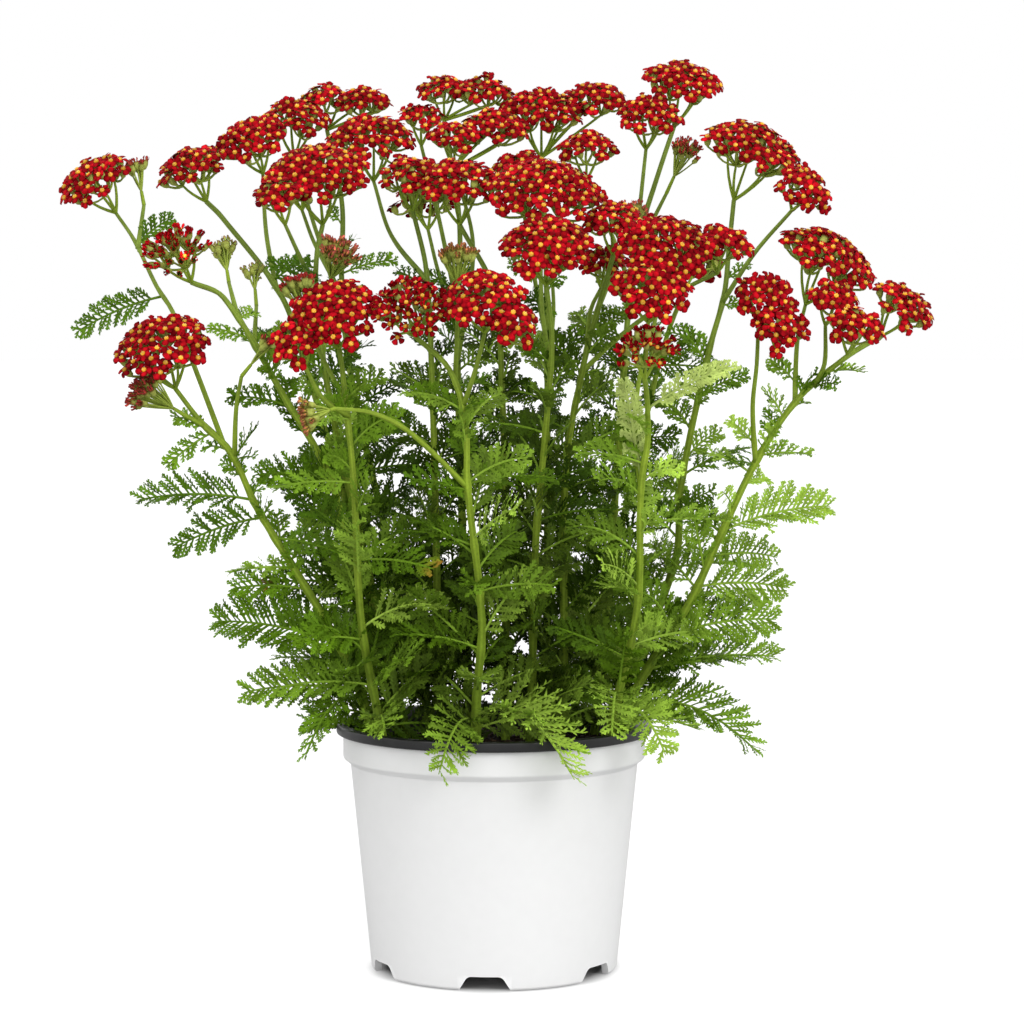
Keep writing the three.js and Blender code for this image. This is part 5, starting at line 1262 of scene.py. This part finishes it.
def planned_leaf(sheet, rng, name, solid, base, plan):
    """A leaf in the place and with the turn of a solid one."""
    height, heading, rise, length, *rest = plan
    # its light: less on high leaves as painted shade, more on low leaves at the front, painted light to the
    # right and painted shade to the back
    low_front = np.clip((170 - height) / 60, 0, 1) * np.clip(-base[1] / 40, 0, 1)
    light = (USUAL_LIGHT - HIGH_SHADE * np.clip((height - 250) / 80, 0, 1) + LOW_FRONT_LIGHT * low_front
             + PAINTED_LIGHT_ACROSS * base[0] - PAINTED_SHADE_BACK * base[1])
    leaf(sheet, rng, base, heading + turn_of_leaf(solid, base, plan), rise, length,
         rest[0] if rest else LEAF_SAG, away_at(base), light,
         tired=TIREDNESS if (name, height) in TIRED_LEAVES else 0.0,
         slim=np.clip((height - 200) / 120, 0, 1))


def side_leaf(sheet, rng, start, onward):
    """The small leaf under the foot of a branch."""
    bearing = math.degrees(math.atan2(onward[1], onward[0])) + rng.normal(0, 25)
    leaf(sheet, rng, start - UP * 1.5, bearing, rng.uniform(*SIDE_LEAF_RISES),
         rng.uniform(*SIDE_LEAF_LENGTHS), SIDE_LEAF_SAG, away_at(start), pitch=SIDE_LEAF_PITCH)


def limb(sheet, rng, branch, main, joints):
    """The round wood of a stem or of a branch, swollen at its joints. Gives its plan's points."""
    points, line = branch_line(branch, STEM_STEP if main else BRANCH_STEP)
    low, high = (STEM_GIRTH, STEM_TOP_GIRTH) if main else (BRANCH_GIRTH, BRANCH_TOP_GIRTH)
    radii = swollen(line, low + (high - low) * np.linspace(0, 1, len(line)), joints)
    tones = mix(STEM_LOW, STEM_HIGH, np.clip((line[:, 2] - STEM_MID) / STEM_MID_SPAN, 0, 1))
    tones = mix(tones, STEM_TOP, np.clip((line[:, 2] - STEM_HIGH_FROM) / STEM_HIGH_SPAN, 0, 1))
    tube(sheet, line, radii, STEM_SIDES if main else BRANCH_SIDES, tones * rng.uniform(0.9, 1.08),
         STEM_RIDGES if main else BRANCH_RIDGES)
    return points


def make_shoot(name, branches, index):
    """A stem with its branches, leaves, buds and side leaves."""
    rng = np.random.default_rng(SHOOT_SEED + index)
    solid = np.array([v.co for v in frame["nodes"][name].data.vertices]) / MM
    sheet = Sheet()
    feet = [stem_points(branch)[0] for branch in branches[1:]]
    for branch in branches:
        main = branch is branches[0]
        leaves = branch.get("leaves", [])
        bases = [at_height(stem_points(branch), plan[0]) for plan in leaves]
        points = limb(sheet, rng, branch, main, bases + (feet if main else []))
        for plan, base in zip(leaves, bases):
            planned_leaf(sheet, rng, name, solid, base, plan)
        if "buds" in branch:
            bud_cluster(sheet, rng, branch["buds"], points[-1], np.array(BUD_TINTS[name], float))
        if not main:
            side_leaf(sheet, rng, points[0], points[1] - points[0])
    stem = stem_points(branches[0])
    for height, heading, rise, length, *light in UPPER_LEAVES.get(name, []):
        leaf(sheet, rng, at_height(stem, height), heading, rise, length,
             lightness=light[0] if light else UPPER_LIGHT,
             wild=0.4 if light else 0.8, slim=2.8 if light else 1.5)
    fill_leaves(sheet, rng, stem)
    keep(make_object(f"{name}_plant", sheet, FOLIAGE), name)


keep(make_pot_shell(), "pot_shell")
keep(make_pot_liner(), "pot_liner")
keep(make_soil(), "soil")
for number, (bloom_name, bloom_heads) in enumerate(BLOOMS.items()):
    make_bloom(bloom_name, bloom_heads, number)
for number, (shoot_name, shoot_branches) in enumerate(SHOOTS.items()):
    make_shoot(shoot_name, shoot_branches, number)

# ---------------------------------------------------------------- stage, light and camera


def add_to_scene(name, data):
    obj = bpy.data.objects.new(name, data)
    bpy.context.scene.collection.objects.link(obj)
    return obj


def floor_paint():
    """Pale grey, and glowing to the camera alone, except under the pot and in a painted shadow just round
    its foot, where the glow fades out.
    """
    material = bpy.data.materials.new("floor_paint")
    material.use_nodes = True
    tree = material.node_tree
    spot = add_node(tree, "ShaderNodeTexCoord").outputs["Object"]
    distance = add_node(tree, "ShaderNodeVectorMath", None, {0: spot}, operation="LENGTH").outputs["Value"]
    # painted shadow: the glow fades out towards the pot's foot
    clear = ramp(tree, distance, SHADOW_FROM, SHADOW_TO, 0.0, FLOOR_GLOW)
    seen = add_node(tree, "ShaderNodeLightPath").outputs["Is Camera Ray"]
    glow = add_node(tree, "ShaderNodeMath", None, {0: seen, 1: clear}, operation="MULTIPLY")
    fill_inputs(tree, tree.nodes["Principled BSDF"],
                {"Base Color": (FLOOR_GREY, FLOOR_GREY, FLOOR_GREY, 1), "Roughness": FLOOR_ROUGHNESS,
                 "Emission Color": (1, 1, 1, 1)}, {"Emission Strength": glow.outputs["Value"]})
    return material


def make_floor():
    mesh = bpy.data.meshes.new("floor")
    square = ((-1, -1), (1, -1), (1, 1), (-1, 1))
    mesh.from_pydata([(x * FLOOR_REACH, y * FLOOR_REACH, -FLOOR_DROP) for x, y in square],
                     [], [(0, 1, 2, 3)])
    mesh.materials.append(floor_paint())
    return add_to_scene("floor", mesh)


def studio():
    """An even white world, at full white to the camera."""
    world = bpy.data.worlds.new("studio")
    world.use_nodes = True
    tree = world.node_tree
    light = tree.nodes["Background"]
    fill_inputs(tree, light, {"Color": (1, 1, 1, 1), "Strength": WORLD_LIGHT}, {})
    seen = add_node(tree, "ShaderNodeBackground", {"Color": (1, 1, 1, 1)})
    camera_ray = add_node(tree, "ShaderNodeLightPath").outputs["Is Camera Ray"]
    either = add_node(tree, "ShaderNodeMixShader", None, {
        "Fac": camera_ray, 1: light.outputs["Background"], 2: seen.outputs["Background"]})
    fill_inputs(tree, tree.nodes["World Output"], {}, {"Surface": either.outputs["Shader"]})
    return world


def soft_light(name, place, power):
    light = bpy.data.lights.new(name, "AREA")
    light.shape, light.size, light.energy = "DISK", LIGHT_SIZE, power
    x, y, z = unit(np.array(LIGHT_TARGET) - np.array(place))
    obj = add_to_scene(name, light)
    obj.location = place
    obj.rotation_euler = (math.acos(-z), 0, math.atan2(y, x) - math.pi / 2)


def make_camera():
    data = bpy.data.cameras.new("camera")
    data.sensor_width, data.lens, data.clip_end = CAMERA_SENSOR, CAMERA_LENS, CAMERA_CLIP
    camera = add_to_scene("camera", data)
    camera.location = CAMERA_PLACE
    camera.rotation_euler = (math.radians(CAMERA_PITCH), 0, 0)
    return camera


floor = make_floor()
bpy.context.scene.world = studio()
soft_light("key", KEY_PLACE, KEY_POWER)
soft_light("fill", FILL_PLACE, FILL_POWER)
bpy.context.scene.view_settings.view_transform = "Standard"
bpy.context.scene.camera = make_camera()
